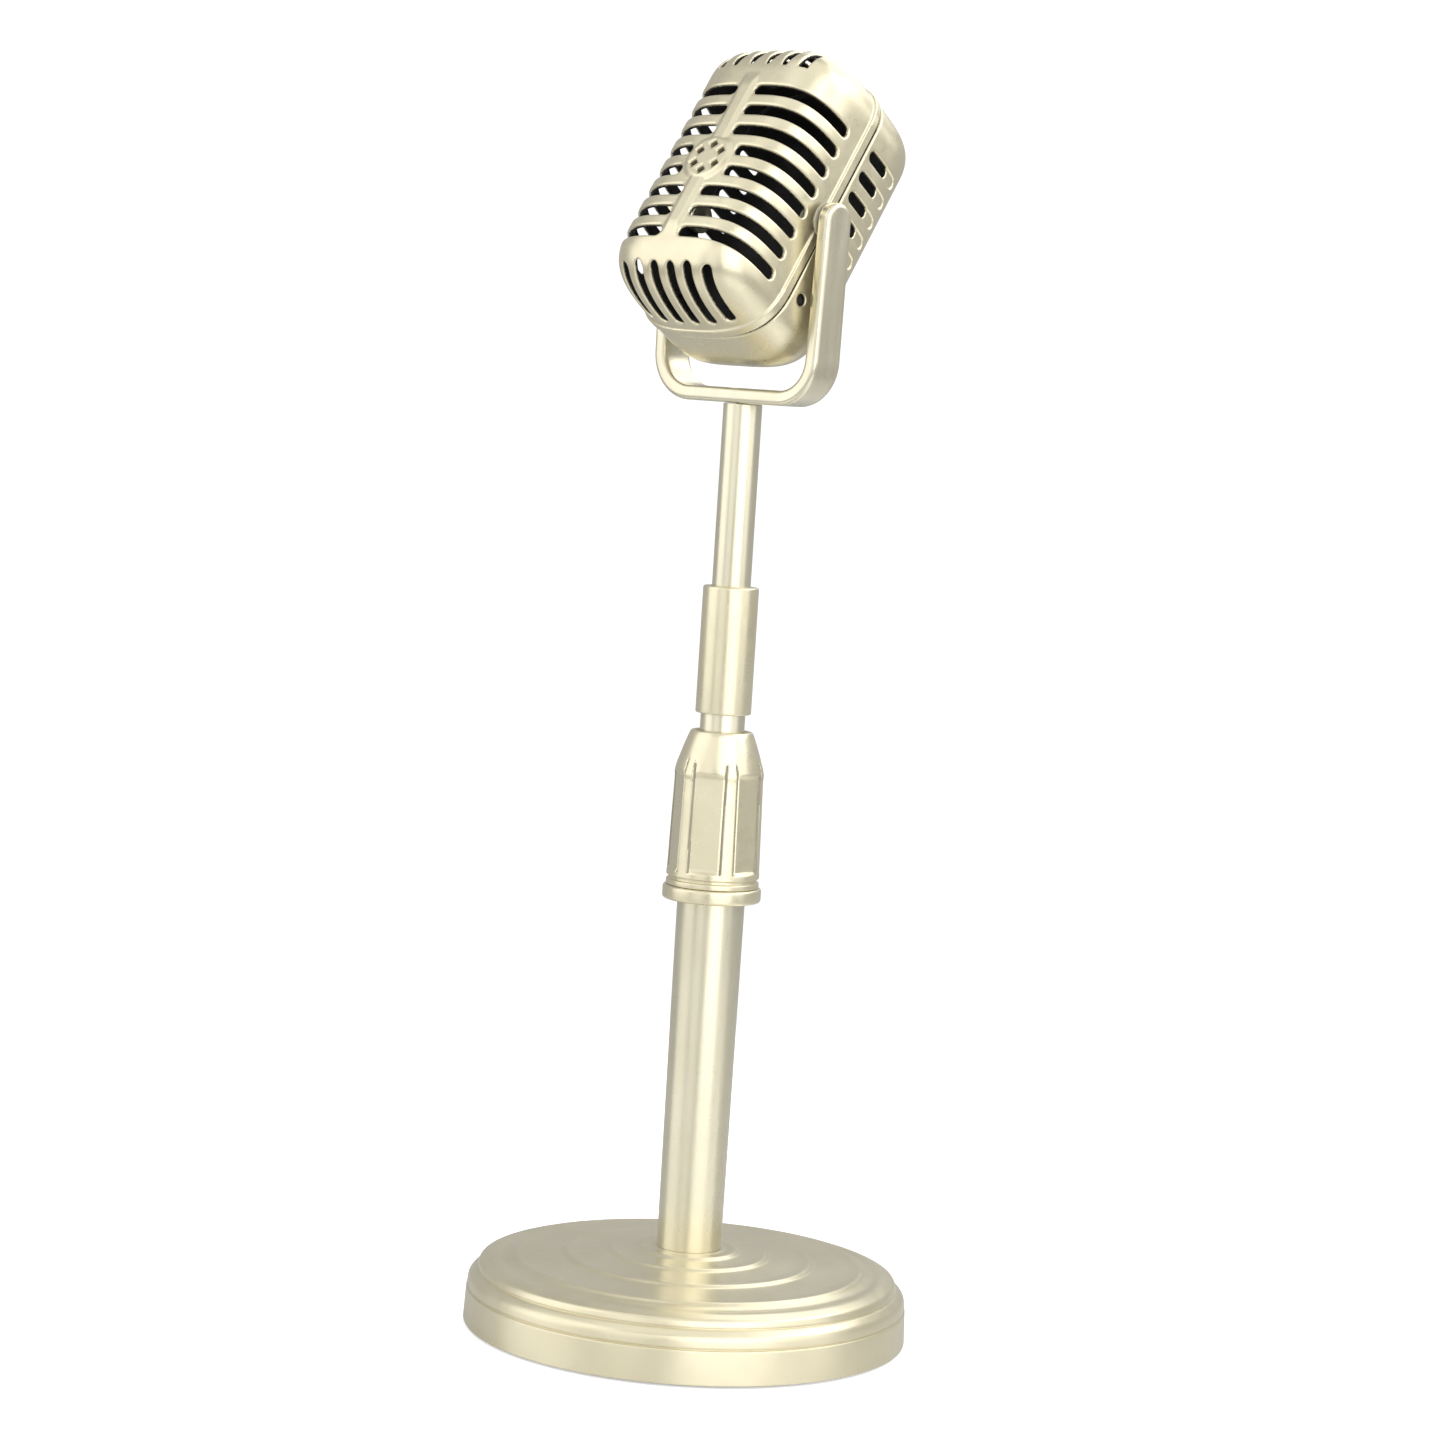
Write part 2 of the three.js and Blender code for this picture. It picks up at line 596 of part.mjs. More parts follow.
function makeFrontShell() {
  const half = box(-LARGE, LARGE, -LARGE, SEAM_Y - SEAM_GAP / 2, -LARGE, LARGE);
  const rimBand = box(-LARGE, LARGE, SEAM_Y - RIM.width, SEAM_Y, -LARGE, LARGE);
  const spineBand = box(-SPINE.halfWidth, SPINE.halfWidth, -LARGE, SPINE.rear, SPINE.bottom, SPINE.top);
  const badgeBlank = rod([[BADGE.radius, 0], [BADGE.radius, LARGE]], 24);
  const badgeRod = placed(badgeBlank, [Math.PI / 2, 0, 0], [0, 0, BADGE.centre]);
  let shell = headOuter;
  shell = shell.add(headVolume(-RIM.height).intersect(rimBand));
  shell = shell.add(headVolume(-SPINE.height).intersect(spineBand));
  shell = shell.add(headVolume(-BADGE.height).intersect(badgeRod));
  shell = shell.intersect(half).subtract(headInner);

  for (let index = 0; index < SLOT.count; index += 1) {
    const z = SLOT.centre + (slotMiddle - index) * SLOT.pitch;
    const nearBadge = Math.abs(z - BADGE.centre) < SLOT.pitch;
    const inner = nearBadge ? SLOT.badgeInner : SLOT.inner;
    shell = shell.subtract(grilleSlot(1, inner, z)).subtract(grilleSlot(-1, inner, z));
  }
  const { topFront, rear, width, topStart, bottomStart } = DOME_SLOT;
  for (const { x, bottomFront } of domeSlotPlaces()) {
    shell = shell.subtract(uprightSlot(x, topFront, rear, width, topStart, LARGE));
    shell = shell.subtract(uprightSlot(x, bottomFront, rear, width, -LARGE, bottomStart));
  }
  for (let index = 0; index < BADGE.holes; index += 1) {
    const angle = (index / BADGE.holes) * Math.PI * 2 + Math.PI / 2;
    const x = Math.cos(angle) * BADGE.holeCircle;
    const z = BADGE.centre + Math.sin(angle) * BADGE.holeCircle;
    const hole = rod([[BADGE.holeRadius, BADGE.holeStart], [BADGE.holeRadius, LARGE]], 4);
    shell = shell.subtract(placed(hole, [Math.PI / 2, 0, 0], [x, 0, z]));
  }
  return shell;
}

// Tongues of the front shell that reach into the rear shell and take its side screws.
function makeLug(side) {
  const outside = REAR.halfWidth - HEAD.wall - LUG.gap;
  const x0 = side > 0 ? outside - LUG.thickness : -outside;
  const z = SHELL_SCREW.z;
  const halfHeight = LUG.height / 2;
  const [y0, y1] = [SEAM_Y - LUG.front, SEAM_Y + LUG.rear];
  const tongue = box(x0, x0 + LUG.thickness, y0, y1, z - halfHeight, z + halfHeight);
  return tongue.intersect(headVolume(HEAD.wall + LUG.gap));
}

function lugRoot(side) {
  const outside = FRONT.halfWidth - HEAD.wall + LUG.rootOverlap;
  const x0 = side > 0 ? outside - LUG.rootThickness : -outside;
  const z = SHELL_SCREW.z;
  const halfHeight = LUG.height / 2;
  return box(
    x0, x0 + LUG.rootThickness, SEAM_Y - LUG.front, SEAM_Y - LUG.rootRear, z - halfHeight, z + halfHeight);
}

const screwY = SHELL_SCREW.behindPivot;
const pinClearHole = crossRod(PIN.radius + PIN.clearance, -LARGE / 2, LARGE / 2, 0, 0);
const lugHole = crossRod(LUG.hole, -LARGE / 2, LARGE / 2, screwY, SHELL_SCREW.z, 12);
let frontShell = makeFrontShell();
for (const side of [1, -1]) {
  frontShell = frontShell.add(makeLug(side)).add(lugRoot(side));
}
frontShell = frontShell.subtract(pinClearHole).subtract(lugHole);
piece('front_shell', frontShell, champagne, head);

function makeRearShell() {
  const half = box(-LARGE, LARGE, SEAM_Y + SEAM_GAP / 2, LARGE, -LARGE, LARGE);
  let shell = headOuter.intersect(half).subtract(headInner);
  for (const z of slotHeights(REAR_SLOT.count, REAR_SLOT.top, REAR_SLOT.pitch)) {
    shell = shell.subtract(
      sideSlot(-LARGE / 2, LARGE / 2, REAR_SLOT.front, REAR_SLOT.rear, z, REAR_SLOT.height));
    for (const side of [1, -1]) {
      const floor = REAR.halfWidth - REAR_SLOT.depth;
      const beyond = REAR.halfWidth + OVERCUT;
      const [x0, x1] = side > 0 ? [floor, beyond] : [-beyond, -floor];
      shell = shell.subtract(sideSlot(x0, x1, REAR_SLOT.front, REAR_SLOT.grooveRear, z, REAR_SLOT.height));
    }
  }
  const screwHole = crossRod(SHELL_SCREW.hole, -LARGE / 2, LARGE / 2, screwY, SHELL_SCREW.z, 16);
  return shell.subtract(screwHole).subtract(pinClearHole);
}
piece('rear_shell', makeRearShell(), champagne, head);

// Lays an upright turned body along the X axis, pointing outwards on one side.
function sideways(body, side) {
  return placed(body, [0, side * Math.PI / 2, 0], [0, 0, 0]);
}

const SIDES = [{ suffix: 'r', sign: 1 }, { suffix: 'l', sign: -1 }];
for (const { suffix, sign } of SIDES) {
  const headTop = REAR.halfWidth - SHELL_SCREW.recess;
  const screw = rod([
    [SHELL_SCREW.shank, headTop - SHELL_SCREW.length],
    [SHELL_SCREW.shank, headTop - SHELL_SCREW.head],
    [SHELL_SCREW.headRadius, headTop - SHELL_SCREW.head],
    [SHELL_SCREW.headRadius, headTop],
  ], 12);
  const screwMesh = piece(`shell_screw_${suffix}`, sideways(screw, sign), steel, head);
  screwMesh.position.set(0, screwY, SHELL_SCREW.z);

  const pin = rod([
    [PIN.flangeRadius, PIN.inner],
    [PIN.flangeRadius, PIN.inner + PIN.flange],
    [PIN.radius, PIN.inner + PIN.flange],
    [PIN.radius, PIN.outer],
  ], 20);
  const pinMesh = piece(`pivot_pin_${suffix}`, sideways(pin, sign), steel, group);
  pinMesh.position.z = PIVOT_HEIGHT;

  const spacer = ring(SPACER.outer, SPACER.inner, SPACER.start, SPACER.start + SPACER.thickness, 24);
  const spacerMesh = piece(`pivot_washer_${suffix}`, sideways(spacer, sign), nylon, group);
  spacerMesh.position.z = PIVOT_HEIGHT;
}

export default group;
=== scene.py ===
import json
import math

import bpy
import numpy as np
from mathutils import Matrix, Vector


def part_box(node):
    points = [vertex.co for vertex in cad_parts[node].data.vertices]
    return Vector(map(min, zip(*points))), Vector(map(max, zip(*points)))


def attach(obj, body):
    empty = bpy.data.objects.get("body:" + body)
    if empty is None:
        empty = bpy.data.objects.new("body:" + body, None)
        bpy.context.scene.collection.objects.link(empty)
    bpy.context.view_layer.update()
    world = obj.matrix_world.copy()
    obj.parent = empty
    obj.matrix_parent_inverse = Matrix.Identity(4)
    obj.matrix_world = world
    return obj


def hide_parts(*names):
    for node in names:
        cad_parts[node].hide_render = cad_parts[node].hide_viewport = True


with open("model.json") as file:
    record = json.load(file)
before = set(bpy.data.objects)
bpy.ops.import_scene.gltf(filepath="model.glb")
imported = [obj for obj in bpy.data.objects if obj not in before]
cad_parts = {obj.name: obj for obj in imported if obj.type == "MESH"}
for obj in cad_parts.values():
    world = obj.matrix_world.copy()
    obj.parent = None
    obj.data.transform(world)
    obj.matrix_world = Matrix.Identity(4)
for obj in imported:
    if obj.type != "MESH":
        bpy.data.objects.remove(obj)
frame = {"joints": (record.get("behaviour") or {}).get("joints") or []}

# A vintage style toy microphone. Lengths are in millimetres until a mesh is made.
MM = 0.001

# How finely the fields are sampled and the turned pieces are divided.
NET_STEP = 0.24
SCREW_NET_STEP = 0.12
SEGMENTS = 192
BASE_SEGMENTS = 256
GRIP_SEGMENTS = 480
WASHER_SEGMENTS, SCREW_SEGMENTS, SMALL_SEGMENTS = 64, 48, 32
FILLET_STEPS = 6
SETTLE_ROUNDS = 2
NUDGE = 0.02

# A slot's end that lies well outside the head, and the value of a field of cuts before its first cut.
FAR = 100.0
NO_CUT = 1e3

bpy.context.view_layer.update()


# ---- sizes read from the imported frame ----
X, Y, Z = 0, 1, 2


def low(node, axis):
    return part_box(node)[0][axis] / MM


def high(node, axis):
    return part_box(node)[1][axis] / MM


def radius_of(node):
    return (high(node, X) - low(node, X)) / 2


TILT_JOINT = next(joint for joint in frame["joints"] if joint["name"] == "head_tilt")
PIVOT = TILT_JOINT["pos_m"][Z] / MM
HEAD_TILT = math.radians(33.8)

# ---- head ----
SEAM = 1.5
RISE = 0.8
WALL = 1.05
FRONT = {"width": 17.35, "depth": 20.0, "power": 3.9}
REAR = {"width": 17.7, "depth": 17.1, "power": 4.2}
TOP = {"straight": 21.7, "end": 33.2, "power": 2.6}
BOTTOM = {"straight": 16.1, "end": 28.5, "power": 2.85}
RIM_WIDTH, RIM_HEIGHT, RIM_EDGE, SEAM_HALF_GAP = 2.2, 0.45, 0.35, 0.24
SPINE_HALF, SPINE_HEIGHT, SPINE_EDGE = 1.7, 0.45, 1.3
SPINE_LOW, SPINE_HIGH, SPINE_FADE = -18.5, 22.5, 4
FACE_Y = -5
BADGE_RADIUS, BADGE_HEIGHT, BADGE_EDGE, BADGE_Z = 5.1, 0.55, 1.4, 0.75
BADGE_HOLES, BADGE_CIRCLE, BADGE_HOLE, DIAMOND_SLOPE = 6, 3.1, 1.0, 0.7
SLOT_COUNT, SLOT_PITCH, SLOT_HEIGHT, SLOT_MIDDLE = 8, 4.97, 2.45, 0.55
SLOT_INNER, SLOT_BADGE_INNER, SLOT_END = 2.3, 5.6, -4.4
DOME_SPACING, DOME_WIDTH, DOME_REAR = 4.25, 2.1, -2.4
DOME_TOP_FRONT, DOME_LOW_FRONT, DOME_OUTER_FRONT = -18.2, -16.4, -15.4
DOME_TOP_START, DOME_LOW_START, DOME_PAIRS = 24.3, -18.3, 3
REAR_COUNT, REAR_TOP, REAR_PITCH, REAR_HEIGHT = 5, 19.2, 5.0, 2.3
REAR_START, REAR_END, GROOVE_END, GROOVE_DEPTH = 3.2, 9.8, 13.4, 0.36
SCREW_Y, SCREW_Z, SCREW_HOLE = 4.7, -15.6, 1.25
SIDE_HOLES_FROM, PIN_HOLE, PIN_HOLE_FROM = 5, 2.35, 10
PAINT_DEPTH, SEAM_PAINT_DEPTH, SEAM_PAINT_MARGIN = 0.5, 0.1, 0.03
FRONT_SEAM_ROUND, FRONT_SLOT_ROUND = 0.3, 0.45
REAR_SEAM_ROUND, REAR_SLOT_ROUND, GROOVE_ROUND = 0.5, 0.3, 0.5


# ---- distance fields ----
def smooth_max(a, b, blend):
    lift = np.maximum(blend - np.abs(a - b), 0.0)
    return np.maximum(a, b) + lift * lift / (4 * blend)


def ease(value):
    value = np.clip(value, 0.0, 1.0)
    return value * value * (3 - 2 * value)


def head_level(x, y, z, inset):
    """1 on the surface of the head, less inside and more outside."""
    behind = y > SEAM
    width = np.where(behind, REAR["width"], FRONT["width"]) - inset
    depth = np.where(behind, REAR["depth"], FRONT["depth"]) - inset
    power = np.where(behind, REAR["power"], FRONT["power"])
    plan = (np.abs(x / width) ** power + np.abs((y - SEAM) / depth) ** power) ** (1 / power)
    height = z - RISE
    above = height > 0
    straight = np.where(above, TOP["straight"], BOTTOM["straight"])
    end = np.where(above, TOP["end"], BOTTOM["end"]) - inset
    dome = np.where(above, TOP["power"], BOTTOM["power"])
    along = np.maximum(0.0, (np.abs(height) - straight) / (end - straight))
    return (plan**dome + along**dome) ** (1 / dome)


def head_distance(x, y, z, inset=0.0):
    here = head_level(x, y, z, inset)
    slope_x = (head_level(x + NUDGE, y, z, inset) - here) / NUDGE
    slope_y = (head_level(x, y + NUDGE, z, inset) - here) / NUDGE
    slope_z = (head_level(x, y, z + NUDGE, inset) - here) / NUDGE
    slope = np.sqrt(slope_x**2 + slope_y**2 + slope_z**2)
    return (here - 1.0) / np.maximum(slope, 0.01)


def slot_field(across, along, start, end, height):
    """A straight slot with round ends, seen square on."""
    radius = height / 2
    beyond = np.maximum(np.maximum(start + radius - along, along - (end - radius)), 0.0)
    return np.hypot(beyond, across) - radius


def hexagon_places():
    for index in range(BADGE_HOLES):
        angle = math.tau * index / BADGE_HOLES + math.pi / 2
        yield BADGE_CIRCLE * math.cos(angle), BADGE_Z + BADGE_CIRCLE * math.sin(angle)


def dome_places():
    """Sideways place of each dome slot, and where its lower one ends at the front."""
    for index in range(DOME_PAIRS):
        outermost = index == DOME_PAIRS - 1
        yield (index + 0.5) * DOME_SPACING, DOME_OUTER_FRONT if outermost else DOME_LOW_FRONT


def front_relief(x, y, z):
    """Height of the rim, the spine and the badge above the plain front shell."""
    rim = RIM_HEIGHT * ease((y - (SEAM - RIM_WIDTH)) / RIM_EDGE + 0.5)
    spine = ease((SPINE_HALF - np.abs(x)) / SPINE_EDGE + 0.5)
    spine = spine * ease((z - SPINE_LOW) / SPINE_FADE) * ease((SPINE_HIGH - z) / SPINE_FADE) * (y < FACE_Y)
    badge_radius = np.hypot(x, z - BADGE_Z)
    badge = ease((BADGE_RADIUS - badge_radius) / BADGE_EDGE + 0.5) * (y < FACE_Y)
    return np.maximum(np.maximum(rim, SPINE_HEIGHT * spine), BADGE_HEIGHT * badge)


def front_cuts(x, y, z):
    """Below zero inside the slots of the face, both domes and the holes of the badge."""
    side = np.abs(x)
    cuts = np.full_like(x, NO_CUT)
    for index in range(SLOT_COUNT):
        middle = SLOT_MIDDLE + ((SLOT_COUNT - 1) / 2 - index) * SLOT_PITCH
        inner = SLOT_BADGE_INNER if abs(middle - BADGE_Z) < SLOT_PITCH else SLOT_INNER
        faced = slot_field(z - middle, side, inner, FAR, SLOT_HEIGHT)
        flank = slot_field(z - middle, -y, -SLOT_END, FAR, SLOT_HEIGHT)
        cuts = np.minimum(cuts, np.maximum(faced, flank))
    for middle, low_front in dome_places():
        upper = slot_field(side - middle, -y, -DOME_REAR, -DOME_TOP_FRONT, DOME_WIDTH)
        lower = slot_field(side - middle, -y, -DOME_REAR, -low_front, DOME_WIDTH)
        cuts = np.minimum(cuts, np.maximum(upper, DOME_TOP_START - z))
        cuts = np.minimum(cuts, np.maximum(lower, z - DOME_LOW_START))
    for hole_x, hole_z in hexagon_places():
        diamond = (np.abs(x - hole_x) + np.abs(z - hole_z) - BADGE_HOLE) * DIAMOND_SLOPE
        cuts = np.minimum(cuts, np.maximum(diamond, y - FACE_Y))
    return cuts


def pin_field(x, y, z):
    """Below zero inside the holes for the pivot pins."""
    return np.maximum(np.hypot(y, z) - PIN_HOLE, PIN_HOLE_FROM - np.abs(x))


def front_field(x, y, z):
    outside = head_distance(x, y, z) - front_relief(x, y, z)
    wall = np.maximum(outside, -head_distance(x, y, z, WALL))
    half = smooth_max(wall, y - (SEAM - SEAM_HALF_GAP), FRONT_SEAM_ROUND)
    opened = smooth_max(half, -front_cuts(x, y, z), FRONT_SLOT_ROUND)
    return np.maximum(opened, -pin_field(x, y, z))


def rear_field(x, y, z):
    side = np.abs(x)
    outside = head_distance(x, y, z)
    grooves = np.full_like(x, NO_CUT)
    holes = np.full_like(x, NO_CUT)
    for index in range(REAR_COUNT):
        middle = REAR_TOP - index * REAR_PITCH
        groove = slot_field(z - middle, y, REAR_START, GROOVE_END, REAR_HEIGHT)
        grooves = np.minimum(grooves, np.maximum(groove, -outside - GROOVE_DEPTH))
        holes = np.minimum(holes, slot_field(z - middle, y, REAR_START, REAR_END, REAR_HEIGHT))
    outside = smooth_max(outside, -grooves, GROOVE_ROUND)
    wall = np.maximum(outside, -head_distance(x, y, z, WALL))
    half = smooth_max(wall, SEAM + SEAM_HALF_GAP - y, REAR_SEAM_ROUND)
    screw = np.hypot(y - SCREW_Y, z - SCREW_Z) - SCREW_HOLE
    side_holes = np.maximum(np.minimum(holes, screw), SIDE_HOLES_FROM - side)
    opened = smooth_max(half, -side_holes, REAR_SLOT_ROUND)
    return np.maximum(opened, -pin_field(x, y, z))


# ---- yoke ----
YOKE_LOW = low("yoke", Z)
YOKE_BAR = 3.0
YOKE_WIDTH, YOKE_TOP_WIDTH = 8.2, 7.4
YOKE_CORNER, YOKE_HALF_BAR, YOKE_LEAN, YOKE_END = 8.0, 12.0, math.radians(1.5), 3.7
YOKE_PIN_HOLE, YOKE_PIN_REACH = 2.1, 21.2
YOKE_SCREW_HOLE, SINK_RADIUS, SINK_SLOPE = 1.9, 3.4, 0.98
YOKE_ROUND, PIN_HOLE_ROUND, SINK_ROUND = 1.1, 0.25, 0.2


def yoke_field(x, y, z):
    """A flat strip bent to a U, with blind pin holes and a countersunk hole in its bar."""
    side = np.abs(x)
    centre_z = YOKE_LOW + YOKE_BAR / 2 + YOKE_CORNER
    from_x = side - YOKE_HALF_BAR
    from_z = z - centre_z
    corner = np.abs(np.hypot(from_x, from_z) - YOKE_CORNER)
    bar = np.abs(from_z + YOKE_CORNER)
    outward = from_x * math.cos(YOKE_LEAN) - from_z * math.sin(YOKE_LEAN)
    upward = from_x * math.sin(YOKE_LEAN) + from_z * math.cos(YOKE_LEAN)
    arm = np.abs(outward - YOKE_CORNER)
    middle_line = np.where(from_x < 0, bar, np.where(upward > 0, arm, corner))
    middle_line = np.where((from_x < 0) & (from_z > 0), YOKE_CORNER, middle_line)
    flat = middle_line - YOKE_BAR / 2
    share = np.clip((z - YOKE_LOW) / (PIVOT - YOKE_LOW), 0, 1)
    half_width = (YOKE_WIDTH + (YOKE_TOP_WIDTH - YOKE_WIDTH) * share) / 2
    round_end = np.hypot(y, (z - PIVOT) * YOKE_TOP_WIDTH / 2 / YOKE_END)
    edges = np.where(z > PIVOT, round_end, np.abs(y)) - half_width
    body = smooth_max(flat, edges, YOKE_ROUND)
    around_pin = np.hypot(y, z - PIVOT)
    pin_hole = np.maximum(around_pin - YOKE_PIN_HOLE, side - YOKE_PIN_REACH)
    body = smooth_max(body, -pin_hole, PIN_HOLE_ROUND)
    from_axis = np.hypot(x, y)
    bar_top = YOKE_LOW + YOKE_BAR
    sink = from_axis - SINK_RADIUS + (bar_top - z) * SINK_SLOPE
    hole = np.maximum(np.minimum(sink, from_axis - YOKE_SCREW_HOLE), z - bar_top - 1)
    return smooth_max(body, -hole, SINK_ROUND)


# ---- surface extraction ----
def net(field, low_corner, high_corner, step):
    """Closed quad surface of the zero level of a distance field, with its vertices on the level."""
    axes = [np.arange(a - 2 * step, b + 2.5 * step, step) for a, b in zip(low_corner, high_corner)]
    values = field(*np.meshgrid(*axes, indexing="ij"))
    cells = [length - 1 for length in values.shape]
    corner_steps = [(i, j, k) for i in (0, 1) for j in (0, 1) for k in (0, 1)]

    def corner(offset):
        return values[tuple(slice(o, o + n) for o, n in zip(offset, cells))]

    inside_count = sum((corner(offset) < 0).astype(np.int8) for offset in corner_steps)
    active = (inside_count > 0) & (inside_count < 8)
    where = np.argwhere(active)
    total = np.zeros((len(where), 3))
    hits = np.zeros(len(where))
    for start in corner_steps:
        for axis in range(3):
            if start[axis]:
                continue
            stop = tuple(s + (1 if a == axis else 0) for a, s in enumerate(start))
            value_a, value_b = corner(start)[active], corner(stop)[active]
            crosses = (value_a < 0) != (value_b < 0)
            share = np.where(crosses, value_a / np.where(crosses, value_a - value_b, 1.0), 0.0)
            point = np.tile(np.array(start, float), (len(where), 1))
            point[:, axis] += share
            total += point * crosses[:, None]
            hits += crosses
    origin = np.array([a[0] for a in axes])
    vertices = origin + (where + total / hits[:, None]) * step
    numbers = np.full(values.shape, -1, np.int64)
    numbers[tuple(where.T)] = np.arange(len(where))
    quads = []
    for axis in range(3):
        u, v = (axis + 1) % 3, (axis + 2) % 3
        ahead = np.roll(values, -1, axis)
        trim = [slice(1, -1)] * 3
        trim[axis] = slice(0, -1)
        changes = np.zeros(values.shape, bool)
        changes[tuple(trim)] = ((values < 0) != (ahead < 0))[tuple(trim)]
        edges = np.argwhere(changes)
        leaving = values[tuple(edges.T)] < 0
        ring = []
        for back_u, back_v in ((1, 1), (0, 1), (0, 0), (1, 0)):
            cell = edges.copy()
            cell[:, u] -= back_u
            cell[:, v] -= back_v
            ring.append(numbers[tuple(cell.T)])
        ring = np.stack(ring, 1)
        ring[~leaving] = ring[~leaving][:, ::-1]
        quads.append(ring)
    for _ in range(SETTLE_ROUNDS):
        vertices = settle(field, vertices, step)
    return vertices, np.concatenate(quads)


def settle(field, vertices, step):
    """One Newton step of every vertex towards the zero level, no further than a third of a cell."""
    here = field(*vertices.T)
    slope = np.empty_like(vertices)
    for axis in range(3):
        moved = vertices.copy()
        moved[:, axis] += NUDGE
        slope[:, axis] = (field(*moved.T) - here) / NUDGE
    size = np.maximum((slope**2).sum(1), 0.2)
    shift = -slope * (here / size)[:, None]
    reach = np.linalg.norm(shift, axis=1)
    limit = np.minimum(1.0, step / 3 / np.maximum(reach, 1e-9))
    return vertices + shift * limit[:, None]


# ---- meshes ----
def make_piece(name, node, body, vertices, faces, materials, face_slots=None):
    """One closed mesh, in metres, that rides on its body and stands in for its CAD node."""
    mesh = bpy.data.meshes.new(name)
    mesh.from_pydata((np.asarray(vertices) * MM).tolist(), [], np.asarray(faces).tolist())
    for material in materials:
        mesh.materials.append(material)
    if face_slots is not None:
        mesh.polygons.foreach_set("material_index", np.asarray(face_slots, np.int32))
    mesh.polygons.foreach_set("use_smooth", np.ones(len(mesh.polygons), bool))
    mesh.update()
    piece = bpy.data.objects.new(name, mesh)
    bpy.context.scene.collection.objects.link(piece)
    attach(piece, body)
    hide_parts(node)
    return piece


def filleted(outline):
    """Points of a closed [radius, height, corner radius] outline with its corners rounded."""
    points = []
    count = len(outline)
    for index, (r, z, rounding) in enumerate(outline):
        here = np.array([r, z], float)
        before = np.array(outline[index - 1][:2], float) - here
        after = np.array(outline[(index + 1) % count][:2], float) - here
        if rounding <= 0:
            points.append(here)
            continue
        length_a, length_b = np.linalg.norm(before), np.linalg.norm(after)
        reach = min(rounding, 0.48 * length_a, 0.48 * length_b)
        start = here + before / length_a * reach
        stop = here + after / length_b * reach
        for step in range(FILLET_STEPS + 1):
            t = step / FILLET_STEPS
            points.append((1 - t) ** 2 * start + 2 * t * (1 - t) * here + t**2 * stop)
    return np.array(points)


def turned(outline, segments=SEGMENTS, flute=None):
    """A closed outline turned about the Z axis. flute(angle, radius, height) gives the radius there."""
    profile = filleted(outline)
    angles = np.arange(segments) / segments * math.tau
    radius = np.broadcast_to(profile[:, 0], (segments, len(profile)))
    height = np.broadcast_to(profile[:, 1], (segments, len(profile)))
    if flute is not None:
        radius = flute(angles[:, None], radius, height)
    vertices = np.stack([radius * np.cos(angles)[:, None], radius * np.sin(angles)[:, None], height], -1)
    count = len(profile)
    s, p = np.meshgrid(np.arange(segments), np.arange(count), indexing="ij")
    s2, p2 = (s + 1) % segments, (p + 1) % count
    quads = np.stack([s * count + p, s2 * count + p, s2 * count + p2, s * count + p2], -1).reshape(-1, 4)
    area = np.sum(profile[:, 0] * np.roll(profile[:, 1], -1) - np.roll(profile[:, 0], -1) * profile[:, 1])
    if area < 0:
        quads = quads[:, ::-1]
    return vertices.reshape(-1, 3), quads


def rod_outline(steps, core=0.02):
    """Outline of a solid turned piece from its [radius, height, corner radius] steps."""
    return [[core, steps[0][1], 0], *steps, [core, steps[-1][1], 0]]


# ---- materials ----
def tree_of(name):
    material = bpy.data.materials.new(name)
    material.use_nodes = True
    nodes = material.node_tree.nodes
    shader = nodes["Principled BSDF"]
    return material, nodes, material.node_tree.links, shader


def noise(nodes, links, scale, detail, stretch=(1, 1, 1)):
    place = nodes.new("ShaderNodeTexCoord")
    mapping = nodes.new("ShaderNodeMapping")
    mapping.inputs["Scale"].default_value = stretch
    texture = nodes.new("ShaderNodeTexNoise")
    texture.inputs["Scale"].default_value = scale
    texture.inputs["Detail"].default_value = detail
    links.new(place.outputs["Object"], mapping.inputs["Vector"])
    links.new(mapping.outputs["Vector"], texture.inputs["Vector"])
    return texture.outputs["Fac"]


def remap(nodes, links, value, out_low, out_high, in_low=0.3, in_high=0.7):
    node = nodes.new("ShaderNodeMapRange")
    node.inputs["From Min"].default_value = in_low
    node.inputs["From Max"].default_value = in_high
    node.inputs["To Min"].default_value = out_low
    node.inputs["To Max"].default_value = out_high
    links.new(value, node.inputs["Value"])
    return node.outputs["Result"]


def mixed(nodes, links, share, colour_a, colour_b):
    node = nodes.new("ShaderNodeMix")
    node.data_type = "RGBA"
    links.new(share, node.inputs["Factor"])
    node.inputs["A"].default_value = (*colour_a, 1)
    node.inputs["B"].default_value = (*colour_b, 1)
    return node.outputs["Result"]


def bump(nodes, links, shader, height, strength, distance):
    node = nodes.new("ShaderNodeBump")
    node.inputs["Strength"].default_value = strength
    node.inputs["Distance"].default_value = distance
    links.new(height, node.inputs["Height"])
    links.new(node.outputs["Normal"], shader.inputs["Normal"])


CLOUD_SCALE, CLOUD_DETAIL, WEAR_SCALE, WEAR_DETAIL = 60, 4, 420, 2
GRAIN_SCALE, GRAIN_DETAIL, GRAIN_STRENGTH, GRAIN_DEPTH = 900, 1, 0.06, 0.00001
COAT_WEIGHT, COAT_ROUGHNESS = 0.5, 0.24
PLAIN_CLOUD_SCALE, PLAIN_CLOUD_DETAIL, PLAIN_GRAIN_DETAIL, PLAIN_GRAIN_STRENGTH = 180, 5, 6, 0.4


